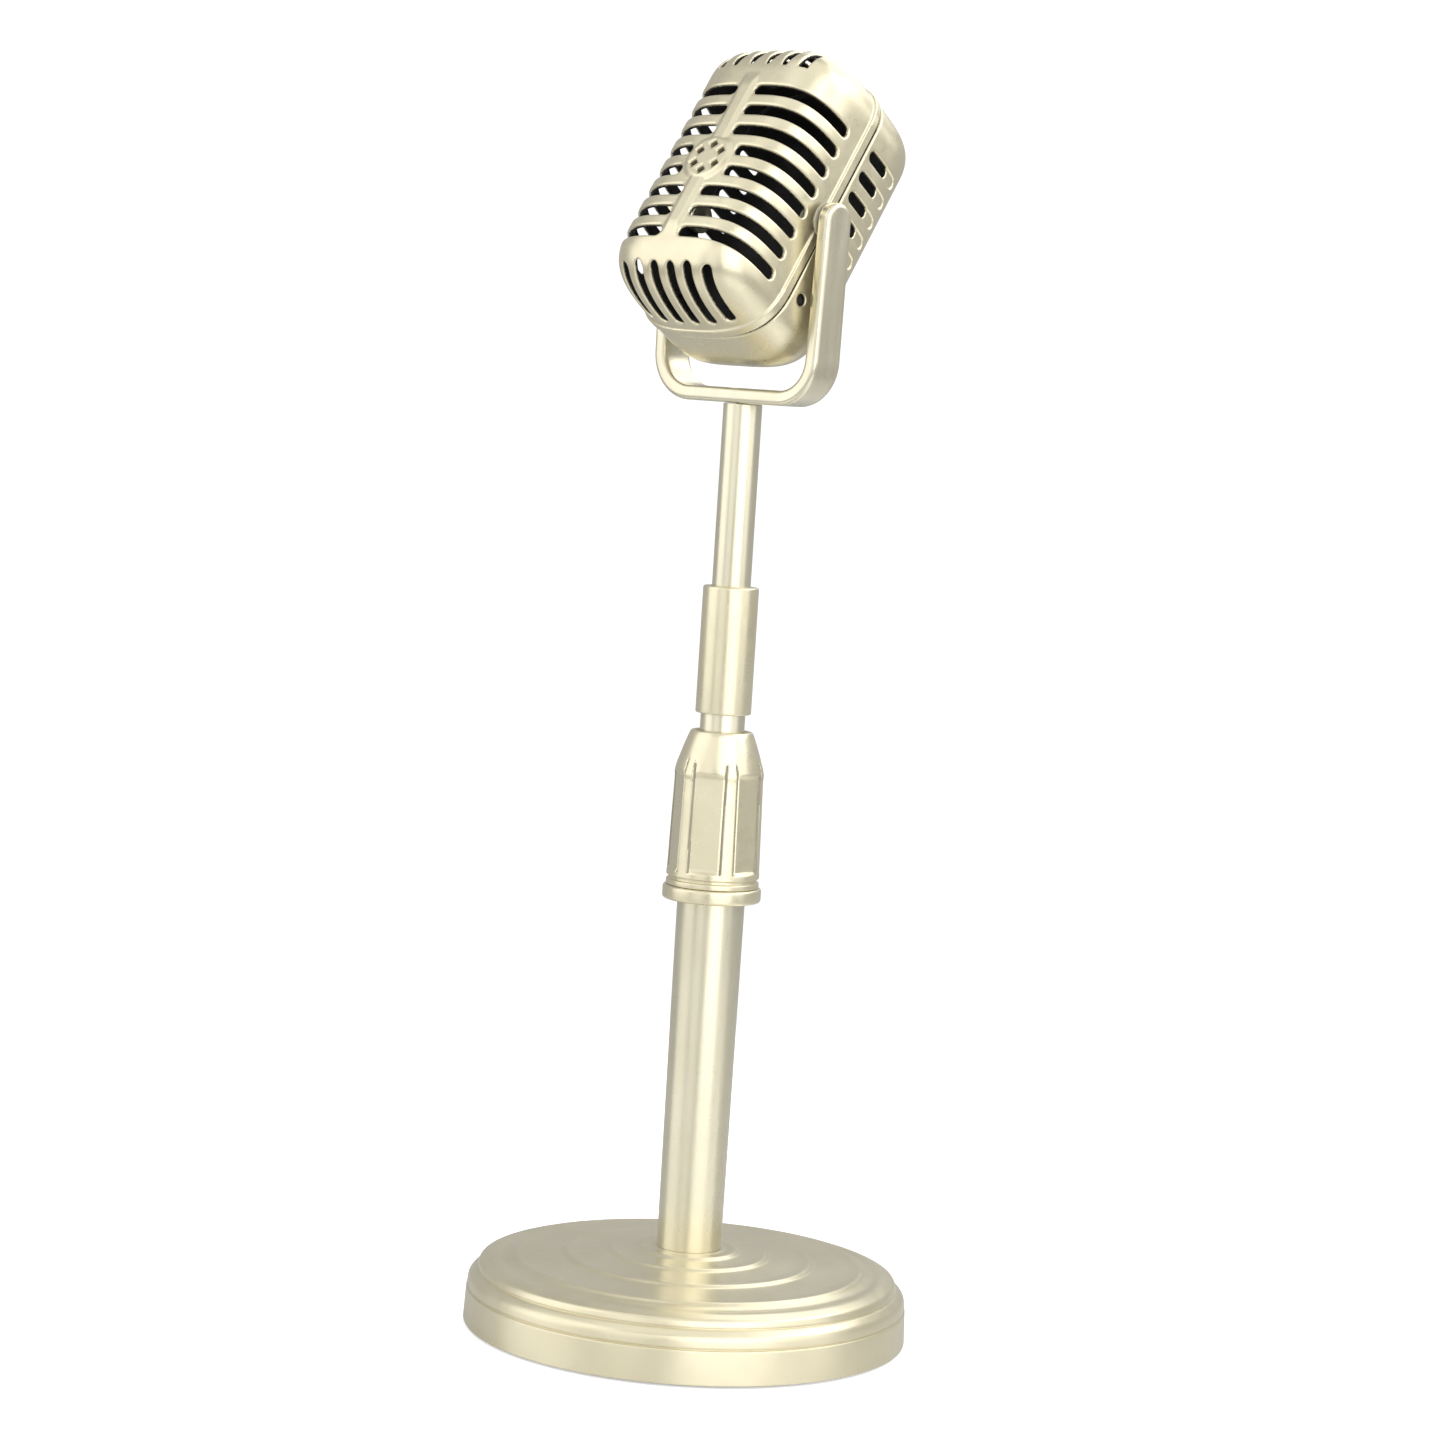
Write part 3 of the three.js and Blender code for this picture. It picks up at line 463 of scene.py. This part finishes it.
def champagne(name, base, deep, metallic, rough, brushed=(1, 1, 1)):
    """Metallic paint with a slight cloudiness, uneven gloss and a fine grain."""
    material, nodes, links, shader = tree_of(name)
    cloud = noise(nodes, links, CLOUD_SCALE, CLOUD_DETAIL)
    links.new(mixed(nodes, links, remap(nodes, links, cloud, 0, 1), base, deep), shader.inputs["Base Color"])
    wear = noise(nodes, links, WEAR_SCALE, WEAR_DETAIL, brushed)
    links.new(remap(nodes, links, wear, rough - 0.04, rough + 0.05), shader.inputs["Roughness"])
    shader.inputs["Metallic"].default_value = metallic
    shader.inputs["Coat Weight"].default_value = COAT_WEIGHT
    shader.inputs["Coat Roughness"].default_value = COAT_ROUGHNESS
    grain = noise(nodes, links, GRAIN_SCALE, GRAIN_DETAIL, brushed)
    bump(nodes, links, shader, grain, GRAIN_STRENGTH, GRAIN_DEPTH)
    return material


def plain(name, base, deep, metallic, rough, grain_scale, grain_depth):
    """A cloudy two-tone surface with a grain of its own, for the pieces inside."""
    material, nodes, links, shader = tree_of(name)
    cloud = noise(nodes, links, PLAIN_CLOUD_SCALE, PLAIN_CLOUD_DETAIL)
    links.new(mixed(nodes, links, remap(nodes, links, cloud, 0, 1), base, deep), shader.inputs["Base Color"])
    links.new(remap(nodes, links, cloud, rough - 0.08, rough + 0.1), shader.inputs["Roughness"])
    shader.inputs["Metallic"].default_value = metallic
    grain = noise(nodes, links, grain_scale, PLAIN_GRAIN_DETAIL)
    bump(nodes, links, shader, grain, PLAIN_GRAIN_STRENGTH, grain_depth)
    return material


GOLD_LIGHT, GOLD_DEEP = (0.74, 0.685, 0.495), (0.68, 0.62, 0.435)
POLE_LIGHT, POLE_DEEP = (0.735, 0.695, 0.535), (0.68, 0.635, 0.475)
head_paint = champagne("head_paint", GOLD_LIGHT, GOLD_DEEP, 0.82, 0.3)
base_paint = champagne("base_paint", GOLD_LIGHT, GOLD_DEEP, 0.8, 0.32)
pole_paint = champagne("pole_paint", POLE_LIGHT, POLE_DEEP, 0.9, 0.29, brushed=(1, 1, 0.12))
# A darker champagne for the grip's fine groove lines: painted shade in the grooves.
painted_groove_shade = champagne("painted_groove_shade", (0.3, 0.275, 0.2), (0.24, 0.22, 0.16), 0.5, 0.5)
inner_black = plain("inner_black", (0.006, 0.006, 0.006), (0.012, 0.011, 0.01), 0.0, 0.6, 2500, 0.00003)
zinc = plain("zinc_plate", (0.55, 0.55, 0.56), (0.42, 0.42, 0.44), 1.0, 0.3, 3000, 0.00002)
iron = plain("cast_iron", (0.035, 0.035, 0.037), (0.06, 0.058, 0.056), 0.4, 0.75, 900, 0.0003)
black_plastic = plain("black_plastic", (0.018, 0.018, 0.02), (0.026, 0.026, 0.027), 0.0, 0.55, 2400, 0.00008)
foam = plain("foot_foam", (0.02, 0.02, 0.022), (0.035, 0.034, 0.034), 0.0, 0.9, 1700, 0.0003)
nylon = plain("nylon", (0.44, 0.41, 0.32), (0.38, 0.355, 0.27), 0.0, 0.45, 2200, 0.00004)


# ---- head pieces ----
def into_place(vertices):
    """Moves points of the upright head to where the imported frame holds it."""
    turn = Matrix.Rotation(-HEAD_TILT, 3, "X")
    return np.asarray(vertices) @ np.array(turn).T + np.array([0, 0, PIVOT])


def head_piece(name, node, field, low_corner, high_corner):
    """One half of the head: painted outside, black inside the slots and within."""
    vertices, faces = net(field, low_corner, high_corner, NET_STEP)
    centres = vertices[faces].mean(1)
    depth = -head_distance(*centres.T)
    in_seam = np.abs(centres[:, Y] - SEAM) < SEAM_HALF_GAP + SEAM_PAINT_MARGIN
    buried = (depth > PAINT_DEPTH) | (in_seam & (depth > SEAM_PAINT_DEPTH))
    return make_piece(name, node, "head", into_place(vertices), faces,
                      [head_paint, inner_black], buried)


MARGIN, REAR_MARGIN = 1, 0.5
widest = REAR["width"] + MARGIN
head_top = RISE + TOP["end"] + MARGIN
head_bottom = RISE - BOTTOM["end"] - MARGIN
face_end = SEAM - FRONT["depth"] - MARGIN
back_end = SEAM + REAR["depth"] + REAR_MARGIN
head_piece("front_grille", "front_shell", front_field,
           (-widest, face_end, head_bottom), (widest, SEAM, head_top))
head_piece("rear_cover", "rear_shell", rear_field,
           (-widest, SEAM, head_bottom), (widest, back_end, head_top))

yoke_low, yoke_high = ([side("yoke", axis) for axis in (X, Y, Z)] for side in (low, high))
yoke_vertices, yoke_faces = net(yoke_field, yoke_low, yoke_high, NET_STEP)
make_piece("yoke_bracket", "yoke", "mast", yoke_vertices, yoke_faces, [pole_paint])


# ---- base ----
TREADS = ((35.6, 14.6), (25.2, 15.5), (16.0, 16.4), (10.0, 17.2))
TREAD_DROP, TREAD_FOOT, TREAD_EDGE = 0.6, 0.45, 0.35
TREAD_RUN, TREAD_FALL = 2.3, 0.12
HUB_RADIUS, HUB_BORE, HUB_DEPTH = 6.9, 4.6, 2.2


def base_outline():
    """Upright skirt, two rounded shoulders, four low treads, the hub and the hollow underside."""
    skirt = radius_of("base_shell")
    bottom = low("base_shell", Z)
    hub_top = high("base_shell", Z)
    outline = [
        [skirt, bottom, 0.3],
        [skirt - 0.25, 7.25, 0.25],
        [skirt - 0.75, 7.45, 0.2],
        [skirt - 0.4, 7.8, 0.25],
        [skirt - 0.55, 9.7, 1.4],
        [skirt - 2.0, 10.95, 0.7],
        [skirt - 2.5, 11.1, 0.15],
        [skirt - 2.35, 11.5, 0.25],
        [skirt - 2.75, 12.75, 1.1],
        [skirt - 5.4, 13.6, 2.0],
        [37.6, 13.45, 1.2],
    ]
    for edge, height in TREADS:
        outline.append([edge + TREAD_FOOT, height - TREAD_DROP, 0.6])
        outline.append([edge - TREAD_EDGE, height, 0.9])
        outline.append([edge - TREAD_RUN, height - TREAD_FALL, 1.6])
    outline += [
        [HUB_RADIUS, hub_top, 0.2],
        [HUB_BORE, hub_top, 0],
        [HUB_BORE, hub_top - HUB_DEPTH, 0],
        [10, hub_top - 2.4, 0],
        [39, 11.4, 0.5],
        [41.2, 9.4, 0.5],
        [43.2, 6.8, 0.3],
        [skirt - 1.6, bottom, 0.2],
    ]
    return outline


def add_turned(name, node, body, outline, material, segments=SEGMENTS):
    """A turned piece about the Z axis in one material."""
    vertices, faces = turned(outline, segments)
    return make_piece(name, node, body, vertices, faces, [material])


def simple_ring(node, inner, rounding):
    """Outline of a plain ring with the outer size of a CAD node."""
    outer, bottom, top = radius_of(node), low(node, Z), high(node, Z)
    return [[inner, bottom, 0.1], [outer, bottom, rounding], [outer, top, rounding], [inner, top, 0.1]]


add_turned("stepped_base", "base_shell", "stand", base_outline(), base_paint,
           segments=BASE_SEGMENTS)
WEIGHT_BORE, WEIGHT_RADIUS = 3.3, radius_of("base_weight")
WEIGHT_LOW, WEIGHT_TOP = low("base_weight", Z), high("base_weight", Z)
add_turned("iron_weight", "base_weight", "stand", [
    [WEIGHT_BORE, WEIGHT_LOW, 0.4], [WEIGHT_RADIUS, WEIGHT_LOW, 0.8], [WEIGHT_RADIUS, 8.6, 1.0],
    [37.4, 10.6, 1.2], [12, WEIGHT_TOP, 2], [WEIGHT_BORE, WEIGHT_TOP, 0.4],
], iron)
PLATE_BORE = 8.5
add_turned("bottom_plate", "base_plate", "stand",
           simple_ring("base_plate", PLATE_BORE, 0.4), black_plastic)
add_turned("foot_disc", "foot_pad", "stand", rod_outline([
    [radius_of("foot_pad"), low("foot_pad", Z), 0.3], [radius_of("foot_pad"), high("foot_pad", Z), 0.3],
]), foam)

# ---- tubes and clutch ----
TUBE_BORE, TUBE_LOW, TUBE_HIGH = 5.7, 6.55, 6.85
TUBE_FOOT, TUBE_TOP = high("base_shell", Z) + 0.02, high("lower_tube", Z)
add_turned("main_tube", "lower_tube", "stand", [
    [TUBE_BORE, TUBE_FOOT, 0.1], [TUBE_LOW, TUBE_FOOT, 0.05], [TUBE_HIGH, low("clutch_ring", Z), 0.1],
    [TUBE_HIGH, TUBE_TOP, 0.15], [TUBE_BORE, TUBE_TOP, 0.1],
], pole_paint)
PLUG_LOW, PLUG_SHELF, PLUG_TOP = low("tube_plug", Z), 17.7, high("tube_plug", Z)
PLUG_BORE, PLUG_NECK, PLUG_BODY = 3.05, 4.2, 5.45
add_turned("plug_insert", "tube_plug", "stand", [
    [PLUG_BORE, PLUG_LOW, 0.2], [PLUG_NECK, PLUG_LOW, 0.2], [PLUG_NECK, PLUG_SHELF, 0.1],
    [PLUG_BODY, PLUG_SHELF, 0.1], [PLUG_BODY, PLUG_TOP, 0.3], [PLUG_BORE, PLUG_TOP, 0.2],
], zinc)
add_turned("clutch_collar", "clutch_ring", "stand",
           simple_ring("clutch_ring", TUBE_HIGH + 0.1, 0.7), head_paint)

GRIP_LOW, GRIP_HIGH = low("clutch_grip", Z), high("clutch_grip", Z)
GRIP_SHOULDER, GRIP_BODY, GRIP_TURN = 113.9, 93.5, math.radians(-1)
GRIP_LOW_RADIUS, GRIP_HIGH_RADIUS = 9.4, 8.98
GRIP_ROWS, NOSE_ROWS, NOSE_DROP, NOSE_CURVE = 90, 18, 2.55, 1.35
FLANGE_RADIUS, FLANGE_LIP, NECK_RADIUS = 9.4, 0.24, 8.9
GRIP_BORE, GRIP_MOUTH, GRIP_CEILING, GRIP_THROAT = 7.3, 5.35, 113.5, 4.85
FLUTES, FLUTE_HALF, FLUTE_SLOPE, FLUTE_DEPTH = 6, 3.3, 0.35, 0.84
FLUTE_LOW, FLUTE_TOP, RIDGE_TOP, RIDGE_RISE = 94.5, 114.3, 118, 0.16
# The third value is the share of each fine line's half width that gets painted shade.
GROOVE_HALF, GROOVE_CUT, GROOVE_SHADE_SHARE = 0.38, 0.3, 0.62
SKIN_RADIUS = 7.6


def from_panel_middle(angle):
    """Angle from the middle of the nearest of the grip's panels."""
    pitch = math.tau / FLUTES
    return (angle + math.pi / 2 - GRIP_TURN) % pitch - pitch / 2


def grip_flutes(angle, radius, height):
    """Flat panels between rounded ridges, whose tips run up onto the nose."""
    from_middle = from_panel_middle(angle)
    across = np.abs(radius * np.sin(from_middle))
    flat = (radius - FLUTE_DEPTH) / np.cos(from_middle)
    inside = np.clip((FLUTE_HALF - across) / FLUTE_SLOPE + 0.5, 0, 1)
    lengthways = ease((height - FLUTE_LOW) / 0.8) * ease((FLUTE_TOP - height) / 0.9 + 0.5)
    line_length = ease((height - FLUTE_LOW) / 0.4) * ease((RIDGE_TOP - 0.8 - height) / 0.8)
    line = GROOVE_CUT * np.clip(1 - np.abs(across - FLUTE_HALF) / GROOVE_HALF, 0, 1) * line_length
    sunk = radius + (np.minimum(flat, radius) - radius) * inside * lengthways - line
    crest_length = ease((RIDGE_TOP - height) / 1.8) * ease((height - FLUTE_TOP + 1) / 1.2)
    crest = RIDGE_RISE * (1 - ease(inside)) * crest_length
    return np.where(radius > SKIN_RADIUS, sunk + crest, radius)


def grip_outline():
    """Flange, neck, tapered body, curved nose, and the bore that holds the collet."""
    lip = GRIP_LOW - FLANGE_LIP
    outline = [
        [GRIP_BORE, GRIP_LOW, 0.1],
        [8.4, GRIP_LOW, 0],
        [8.5, lip, 0],
        [FLANGE_RADIUS, lip, 0.2],
        [FLANGE_RADIUS, GRIP_LOW + 0.85, 0.3],
        [NECK_RADIUS, GRIP_LOW + 0.95, 0.15],
        [NECK_RADIUS, GRIP_BODY - 0.15, 0.15],
        [GRIP_LOW_RADIUS, GRIP_BODY, 0.35],
    ]
    length = GRIP_SHOULDER - GRIP_BODY
    for row in range(1, GRIP_ROWS):
        share = row / GRIP_ROWS
        radius = GRIP_LOW_RADIUS + (GRIP_HIGH_RADIUS - GRIP_LOW_RADIUS) * share
        outline.append([radius, GRIP_BODY + length * share, 0])
    for row in range(NOSE_ROWS + 1):
        share = row / NOSE_ROWS
        height = GRIP_SHOULDER + (GRIP_HIGH - 0.5 - GRIP_SHOULDER) * share
        outline.append([GRIP_HIGH_RADIUS - NOSE_DROP * share**NOSE_CURVE, height, 0])
    outline += [
        [6.1, GRIP_HIGH, 0.25],
        [GRIP_MOUTH, GRIP_HIGH, 0.1],
        [5.2, GRIP_HIGH - 0.9, 0.1],
        [GRIP_THROAT, GRIP_HIGH - 1.1, 0.1],
        [GRIP_THROAT, GRIP_CEILING, 0],
        [GRIP_BORE, GRIP_CEILING, 0],
    ]
    return outline


def in_painted_groove_shade(points):
    """Where a point of the grip lies in one of the fine lines beside its panels, which get painted shade."""
    x, y, z = points.T
    across = np.hypot(x, y) * np.abs(np.sin(from_panel_middle(np.arctan2(y, x))))
    beside = np.abs(across - FLUTE_HALF) < GROOVE_HALF * GROOVE_SHADE_SHARE
    return beside & (z > FLUTE_LOW + 0.2) & (z < RIDGE_TOP - 1.4) & (np.hypot(x, y) > SKIN_RADIUS)


# Faces in the fine lines beside the panels take the darker material, painted shade in the grooves.
grip_vertices, grip_faces = turned(grip_outline(), GRIP_SEGMENTS, flute=grip_flutes)
make_piece("fluted_grip", "clutch_grip", "grip", grip_vertices, grip_faces,
           [head_paint, painted_groove_shade], in_painted_groove_shade(grip_vertices[np.asarray(grip_faces)].mean(1)))

COLLET_BORE, COLLET_RADIUS, COLLET_NOSE, COLLET_STRAIGHT = 4.8, 6.6, 5.6, 7
COLLET_LOW, COLLET_TOP = low("clutch_collet", Z), high("clutch_collet", Z)
add_turned("split_collet", "clutch_collet", "stand", [
    [COLLET_BORE, COLLET_LOW, 0.2], [COLLET_RADIUS, COLLET_LOW, 0.3],
    [COLLET_RADIUS, COLLET_LOW + COLLET_STRAIGHT, 0.3], [COLLET_NOSE, COLLET_TOP, 0.2],
    [COLLET_BORE, COLLET_TOP, 0.1],
], nylon)
POLE_BORE, STOP_BORE = 3.4, 4.7
add_turned("sliding_pole", "inner_pole", "pole",
           simple_ring("inner_pole", POLE_BORE, 0.4), pole_paint)
add_turned("pole_bush", "pole_stop", "pole", simple_ring("pole_stop", STOP_BORE, 0.3), nylon)

SLEEVE_POLE_BORE, SLEEVE_ROD_BORE, SLEEVE_SHELF = 4.8, 4.1, 140
SLEEVE_RADIUS = radius_of("pole_sleeve")
SLEEVE_LOW, SLEEVE_TOP = low("pole_sleeve", Z), high("pole_sleeve", Z)
add_turned("swivel_sleeve", "pole_sleeve", "mast", [
    [SLEEVE_POLE_BORE, SLEEVE_LOW, 0.1], [SLEEVE_RADIUS, SLEEVE_LOW, 0.5], [SLEEVE_RADIUS, SLEEVE_TOP, 0.5],
    [SLEEVE_ROD_BORE, SLEEVE_TOP, 0.15], [SLEEVE_ROD_BORE, SLEEVE_SHELF, 0.1],
    [SLEEVE_POLE_BORE, SLEEVE_SHELF, 0.1],
], head_paint)
add_turned("upper_stem", "upper_rod", "mast", rod_outline([
    [radius_of("upper_rod"), low("upper_rod", Z), 0.4], [radius_of("upper_rod"), high("upper_rod", Z), 0.25],
]), pole_paint)

# ---- fasteners ----
BOLT_HEAD, BOLT_SHANK, BOLT_HEAD_HEIGHT = 4.9, 2.75, 1.7
BOLT_LOW, BOLT_TOP = low("pole_bolt", Z), high("pole_bolt", Z)
add_turned("base_bolt", "pole_bolt", "stand", rod_outline([
    [BOLT_HEAD, BOLT_LOW, 0.5], [BOLT_HEAD, BOLT_LOW + BOLT_HEAD_HEIGHT, 0.2],
    [BOLT_SHANK, BOLT_LOW + BOLT_HEAD_HEIGHT, 0.1], [BOLT_SHANK, BOLT_TOP, 0.4],
]), zinc, segments=SCREW_SEGMENTS)
BOLT_WASHER_BORE = 3.05
add_turned("base_washer", "pole_washer", "stand",
           simple_ring("pole_washer", BOLT_WASHER_BORE, 0.2), zinc, segments=WASHER_SEGMENTS)

PLATE_SCREW_HEAD, PLATE_SCREW_SHANK, PLATE_SCREW_HEIGHT = 2.75, 1.4, 1.1
for number in (1, 2, 3):
    node = f"base_screw_{number}"
    bottom, top = low(node, Z), high(node, Z)
    screw = add_turned(f"plate_screw_{number}", node, "stand", rod_outline([
        [2.0, bottom, 0.2], [PLATE_SCREW_HEAD, bottom + 0.5, 0.3],
        [PLATE_SCREW_HEAD, bottom + PLATE_SCREW_HEIGHT, 0.1],
        [PLATE_SCREW_SHANK, bottom + PLATE_SCREW_HEIGHT, 0.1], [PLATE_SCREW_SHANK, top, 0.5],
    ]), zinc, segments=SCREW_SEGMENTS)
    centre_x = (low(node, X) + high(node, X)) / 2
    centre_y = (low(node, Y) + high(node, Y)) / 2
    screw.data.transform(Matrix.Translation((centre_x * MM, centre_y * MM, 0)))

CONE_TOP, CONE_BOTTOM = high("yoke_screw", Z), low("yoke_screw", Z)
CONE_RADIUS, CONE_STEEPNESS, CONE_HEIGHT, SHANK_RADIUS = 3.1, 0.71, 2, 1.4
CROSS_REACH, CROSS_HALF, CROSS_DEPTH, CONE_BOX = 1.7, 0.35, 1.0, 3.2
HEAD_ROUND, CROSS_ROUND = 0.25, 0.15


def yoke_screw_field(x, y, z):
    """A countersunk screw with a cross recess."""
    from_axis = np.hypot(x, y)
    cone = from_axis - (CONE_RADIUS - (CONE_TOP - z) * SINK_SLOPE)
    head = np.maximum(cone * CONE_STEEPNESS, -(z - CONE_TOP + CONE_HEIGHT))
    head = smooth_max(head, z - CONE_TOP, HEAD_ROUND)
    shank = np.maximum(from_axis - SHANK_RADIUS, np.maximum(z - CONE_TOP + 1, CONE_BOTTOM - z))
    arm_x = np.maximum(np.abs(x) - CROSS_REACH, np.abs(y) - CROSS_HALF)
    arm_y = np.maximum(np.abs(y) - CROSS_REACH, np.abs(x) - CROSS_HALF)
    recess = np.maximum(np.minimum(arm_x, arm_y), CONE_TOP - CROSS_DEPTH - z)
    return smooth_max(np.minimum(head, shank), -recess, CROSS_ROUND)


screw_vertices, screw_faces = net(
    yoke_screw_field, (-CONE_BOX, -CONE_BOX, CONE_BOTTOM), (CONE_BOX, CONE_BOX, CONE_TOP), SCREW_NET_STEP
)
make_piece("bar_screw", "yoke_screw", "mast", screw_vertices, screw_faces, [zinc])

PIN_HEAD, PIN_HEAD_LENGTH, PIN_RADIUS = 3.05, 1.1, 1.98
SPACER_BORE, SPACER_RADIUS = 2.25, 3.68
SIDE_SCREW_SHANK, SIDE_SCREW_HEAD = 0.58, 1.03
SIDE_SCREW_IN, SIDE_SCREW_NECK, SIDE_SCREW_OUT = [REAR["width"] - inward for inward in (5.8, 1.5, 0.6)]
ON_PIVOT = np.array([0, 0, PIVOT])


def reach_of(node):
    """How far a node at one side of the head begins and ends from the middle plane."""
    return sorted((abs(low(node, X)), abs(high(node, X))))


def sideways(sign, outline, segments):
    """A closed outline turned about the X axis, towards one side."""
    vertices, faces = turned(outline, segments)
    turn = np.array([[0, 0, sign], [0, 1, 0], [-sign, 0, 0]], float)
    return vertices @ turn.T, faces


for side, sign in (("l", -1), ("r", 1)):
    pin_inner, pin_outer = reach_of(f"pivot_pin_{side}")
    vertices, faces = sideways(sign, rod_outline([
        [PIN_HEAD, pin_inner, 0.2], [PIN_HEAD, pin_inner + PIN_HEAD_LENGTH, 0.2],
        [PIN_RADIUS, pin_inner + PIN_HEAD_LENGTH, 0.1], [PIN_RADIUS, pin_outer, 0.25],
    ]), WASHER_SEGMENTS)
    make_piece(f"trunnion_{side}", f"pivot_pin_{side}", "mast",
               vertices + ON_PIVOT, faces, [pole_paint])
    washer = f"pivot_washer_{side}"
    washer_inner, washer_outer = reach_of(washer)
    vertices, faces = sideways(sign, [
        [SPACER_BORE, washer_inner, 0.05], [SPACER_RADIUS, washer_inner, 0.1],
        [SPACER_RADIUS, washer_outer, 0.1], [SPACER_BORE, washer_outer, 0.05],
    ], WASHER_SEGMENTS)
    make_piece(f"spacer_{side}", washer, "mast", vertices + ON_PIVOT, faces, [nylon])
    vertices, faces = sideways(sign, rod_outline([
        [SIDE_SCREW_SHANK, SIDE_SCREW_IN, 0.2], [SIDE_SCREW_SHANK, SIDE_SCREW_NECK, 0.05],
        [SIDE_SCREW_HEAD, SIDE_SCREW_NECK, 0.1], [SIDE_SCREW_HEAD, SIDE_SCREW_OUT, 0.3],
    ]), SMALL_SEGMENTS)
    make_piece(f"side_screw_{side}", f"shell_screw_{side}", "head",
               into_place(vertices + np.array([0, SCREW_Y, SCREW_Z])), faces, [inner_black])


# ---- studio ----
def camera_only(nodes, links, elsewhere, seen_directly):
    """One value for what the camera sees directly, to keep the paper white, and another for all else."""
    path = nodes.new("ShaderNodeLightPath")
    value = nodes.new("ShaderNodeMapRange")
    value.inputs["To Min"].default_value = elsewhere
    value.inputs["To Max"].default_value = seen_directly
    links.new(path.outputs["Is Camera Ray"], value.inputs["Value"])
    return value.outputs["Result"]


FLOOR_SEGMENTS, FLOOR_RADIUS = 96, 0.36


def studio():
    """A round white floor and a white world, both darker for reflections than for the camera."""
    mesh = bpy.data.meshes.new("floor")
    angles = [math.tau * index / FLOOR_SEGMENTS for index in range(FLOOR_SEGMENTS)]
    rim = [(math.cos(angle) * FLOOR_RADIUS, math.sin(angle) * FLOOR_RADIUS, 0) for angle in angles]
    mesh.from_pydata(rim, [], [list(range(FLOOR_SEGMENTS))])
    material, nodes, links, shader = tree_of("floor_paper")
    links.new(camera_only(nodes, links, 0.75, 0.85), shader.inputs["Base Color"])
    links.new(camera_only(nodes, links, 0.6, 0.0), shader.inputs["Metallic"])
    links.new(camera_only(nodes, links, 0.3, 0.9), shader.inputs["Roughness"])
    shader.inputs["Emission Color"].default_value = (1, 1, 1, 1)
    links.new(camera_only(nodes, links, 0.0, 0.5), shader.inputs["Emission Strength"])
    mesh.materials.append(material)
    floor = bpy.data.objects.new("floor", mesh)
    bpy.context.scene.collection.objects.link(floor)
    world = bpy.data.worlds.new("studio")
    world.use_nodes = True
    background = world.node_tree.nodes["Background"]
    background.inputs["Color"].default_value = (1, 1, 1, 1)
    links = world.node_tree.links
    links.new(camera_only(world.node_tree.nodes, links, 0.46, 1.1), background.inputs["Strength"])
    bpy.context.scene.world = world
    bpy.context.scene.view_settings.view_transform = "Standard"


LAMP_TARGET = Vector((0, 0, 0.13))


def softbox(name, azimuth, elevation, distance, width, height, brightness):
    """A rectangular lamp aimed at the middle of the object. Azimuth is measured as the camera's is."""
    light = bpy.data.lights.new(name, "AREA")
    light.shape = "RECTANGLE"
    light.size, light.size_y = width, height
    light.energy = brightness * math.pi * width * height
    lamp = bpy.data.objects.new(name, light)
    a, e = math.radians(azimuth), math.radians(elevation)
    back = Vector((math.sin(a) * math.cos(e), -math.cos(a) * math.cos(e), math.sin(e)))
    lamp.location = LAMP_TARGET + back * distance
    lamp.rotation_euler = back.to_track_quat("Z", "Y").to_euler()
    lamp.visible_camera = False
    bpy.context.scene.collection.objects.link(lamp)


CAMERA_AZIMUTH, CAMERA_PITCH, CAMERA_ROLL = math.radians(41.5), math.radians(5.3), math.radians(3.69)
CAMERA_DISTANCE, CAMERA_HEIGHT = 0.75, 0.1941
LENS, SENSOR = 93.35, 36


def add_camera():
    camera = bpy.data.cameras.new("camera")
    camera.lens, camera.sensor_width = LENS, SENSOR
    camera.clip_start, camera.clip_end = 0.05, 20
    viewer = bpy.data.objects.new("camera", camera)
    sideward, onward = math.sin(CAMERA_AZIMUTH), math.cos(CAMERA_AZIMUTH)
    level = math.cos(CAMERA_PITCH)
    forward = Vector((-sideward * level, onward * level, -math.sin(CAMERA_PITCH)))
    right = forward.cross(Vector((0, 0, 1))).normalized()
    up = right.cross(forward)
    rolled_right = right * math.cos(CAMERA_ROLL) + up * math.sin(CAMERA_ROLL)
    rolled_up = up * math.cos(CAMERA_ROLL) - right * math.sin(CAMERA_ROLL)
    turn = Matrix((rolled_right, rolled_up, -forward)).transposed().to_4x4()
    place = Vector((sideward * CAMERA_DISTANCE, -onward * CAMERA_DISTANCE, CAMERA_HEIGHT))
    viewer.matrix_world = Matrix.Translation(place) @ turn
    bpy.context.scene.collection.objects.link(viewer)
    bpy.context.scene.camera = viewer


studio()
softbox("right_core", 64, 18, 1.1, 1.05, 1.4, 1.8)
softbox("right_side", 108, 24, 1.1, 0.66, 1.3, 1.0)
softbox("left_front", -36, 22, 1.1, 1.0, 1.4, 1.15)
softbox("front_fill", 10, 16, 1.1, 0.62, 1.2, 0.8)
softbox("overhead", 30, 80, 1.0, 1.2, 0.8, 0.65)
softbox("back_top", 165, 48, 0.665, 1.1, 0.45, 1.4)
softbox("back_right", 138, 35, 0.43, 0.24, 0.16, 1.2)
add_camera()
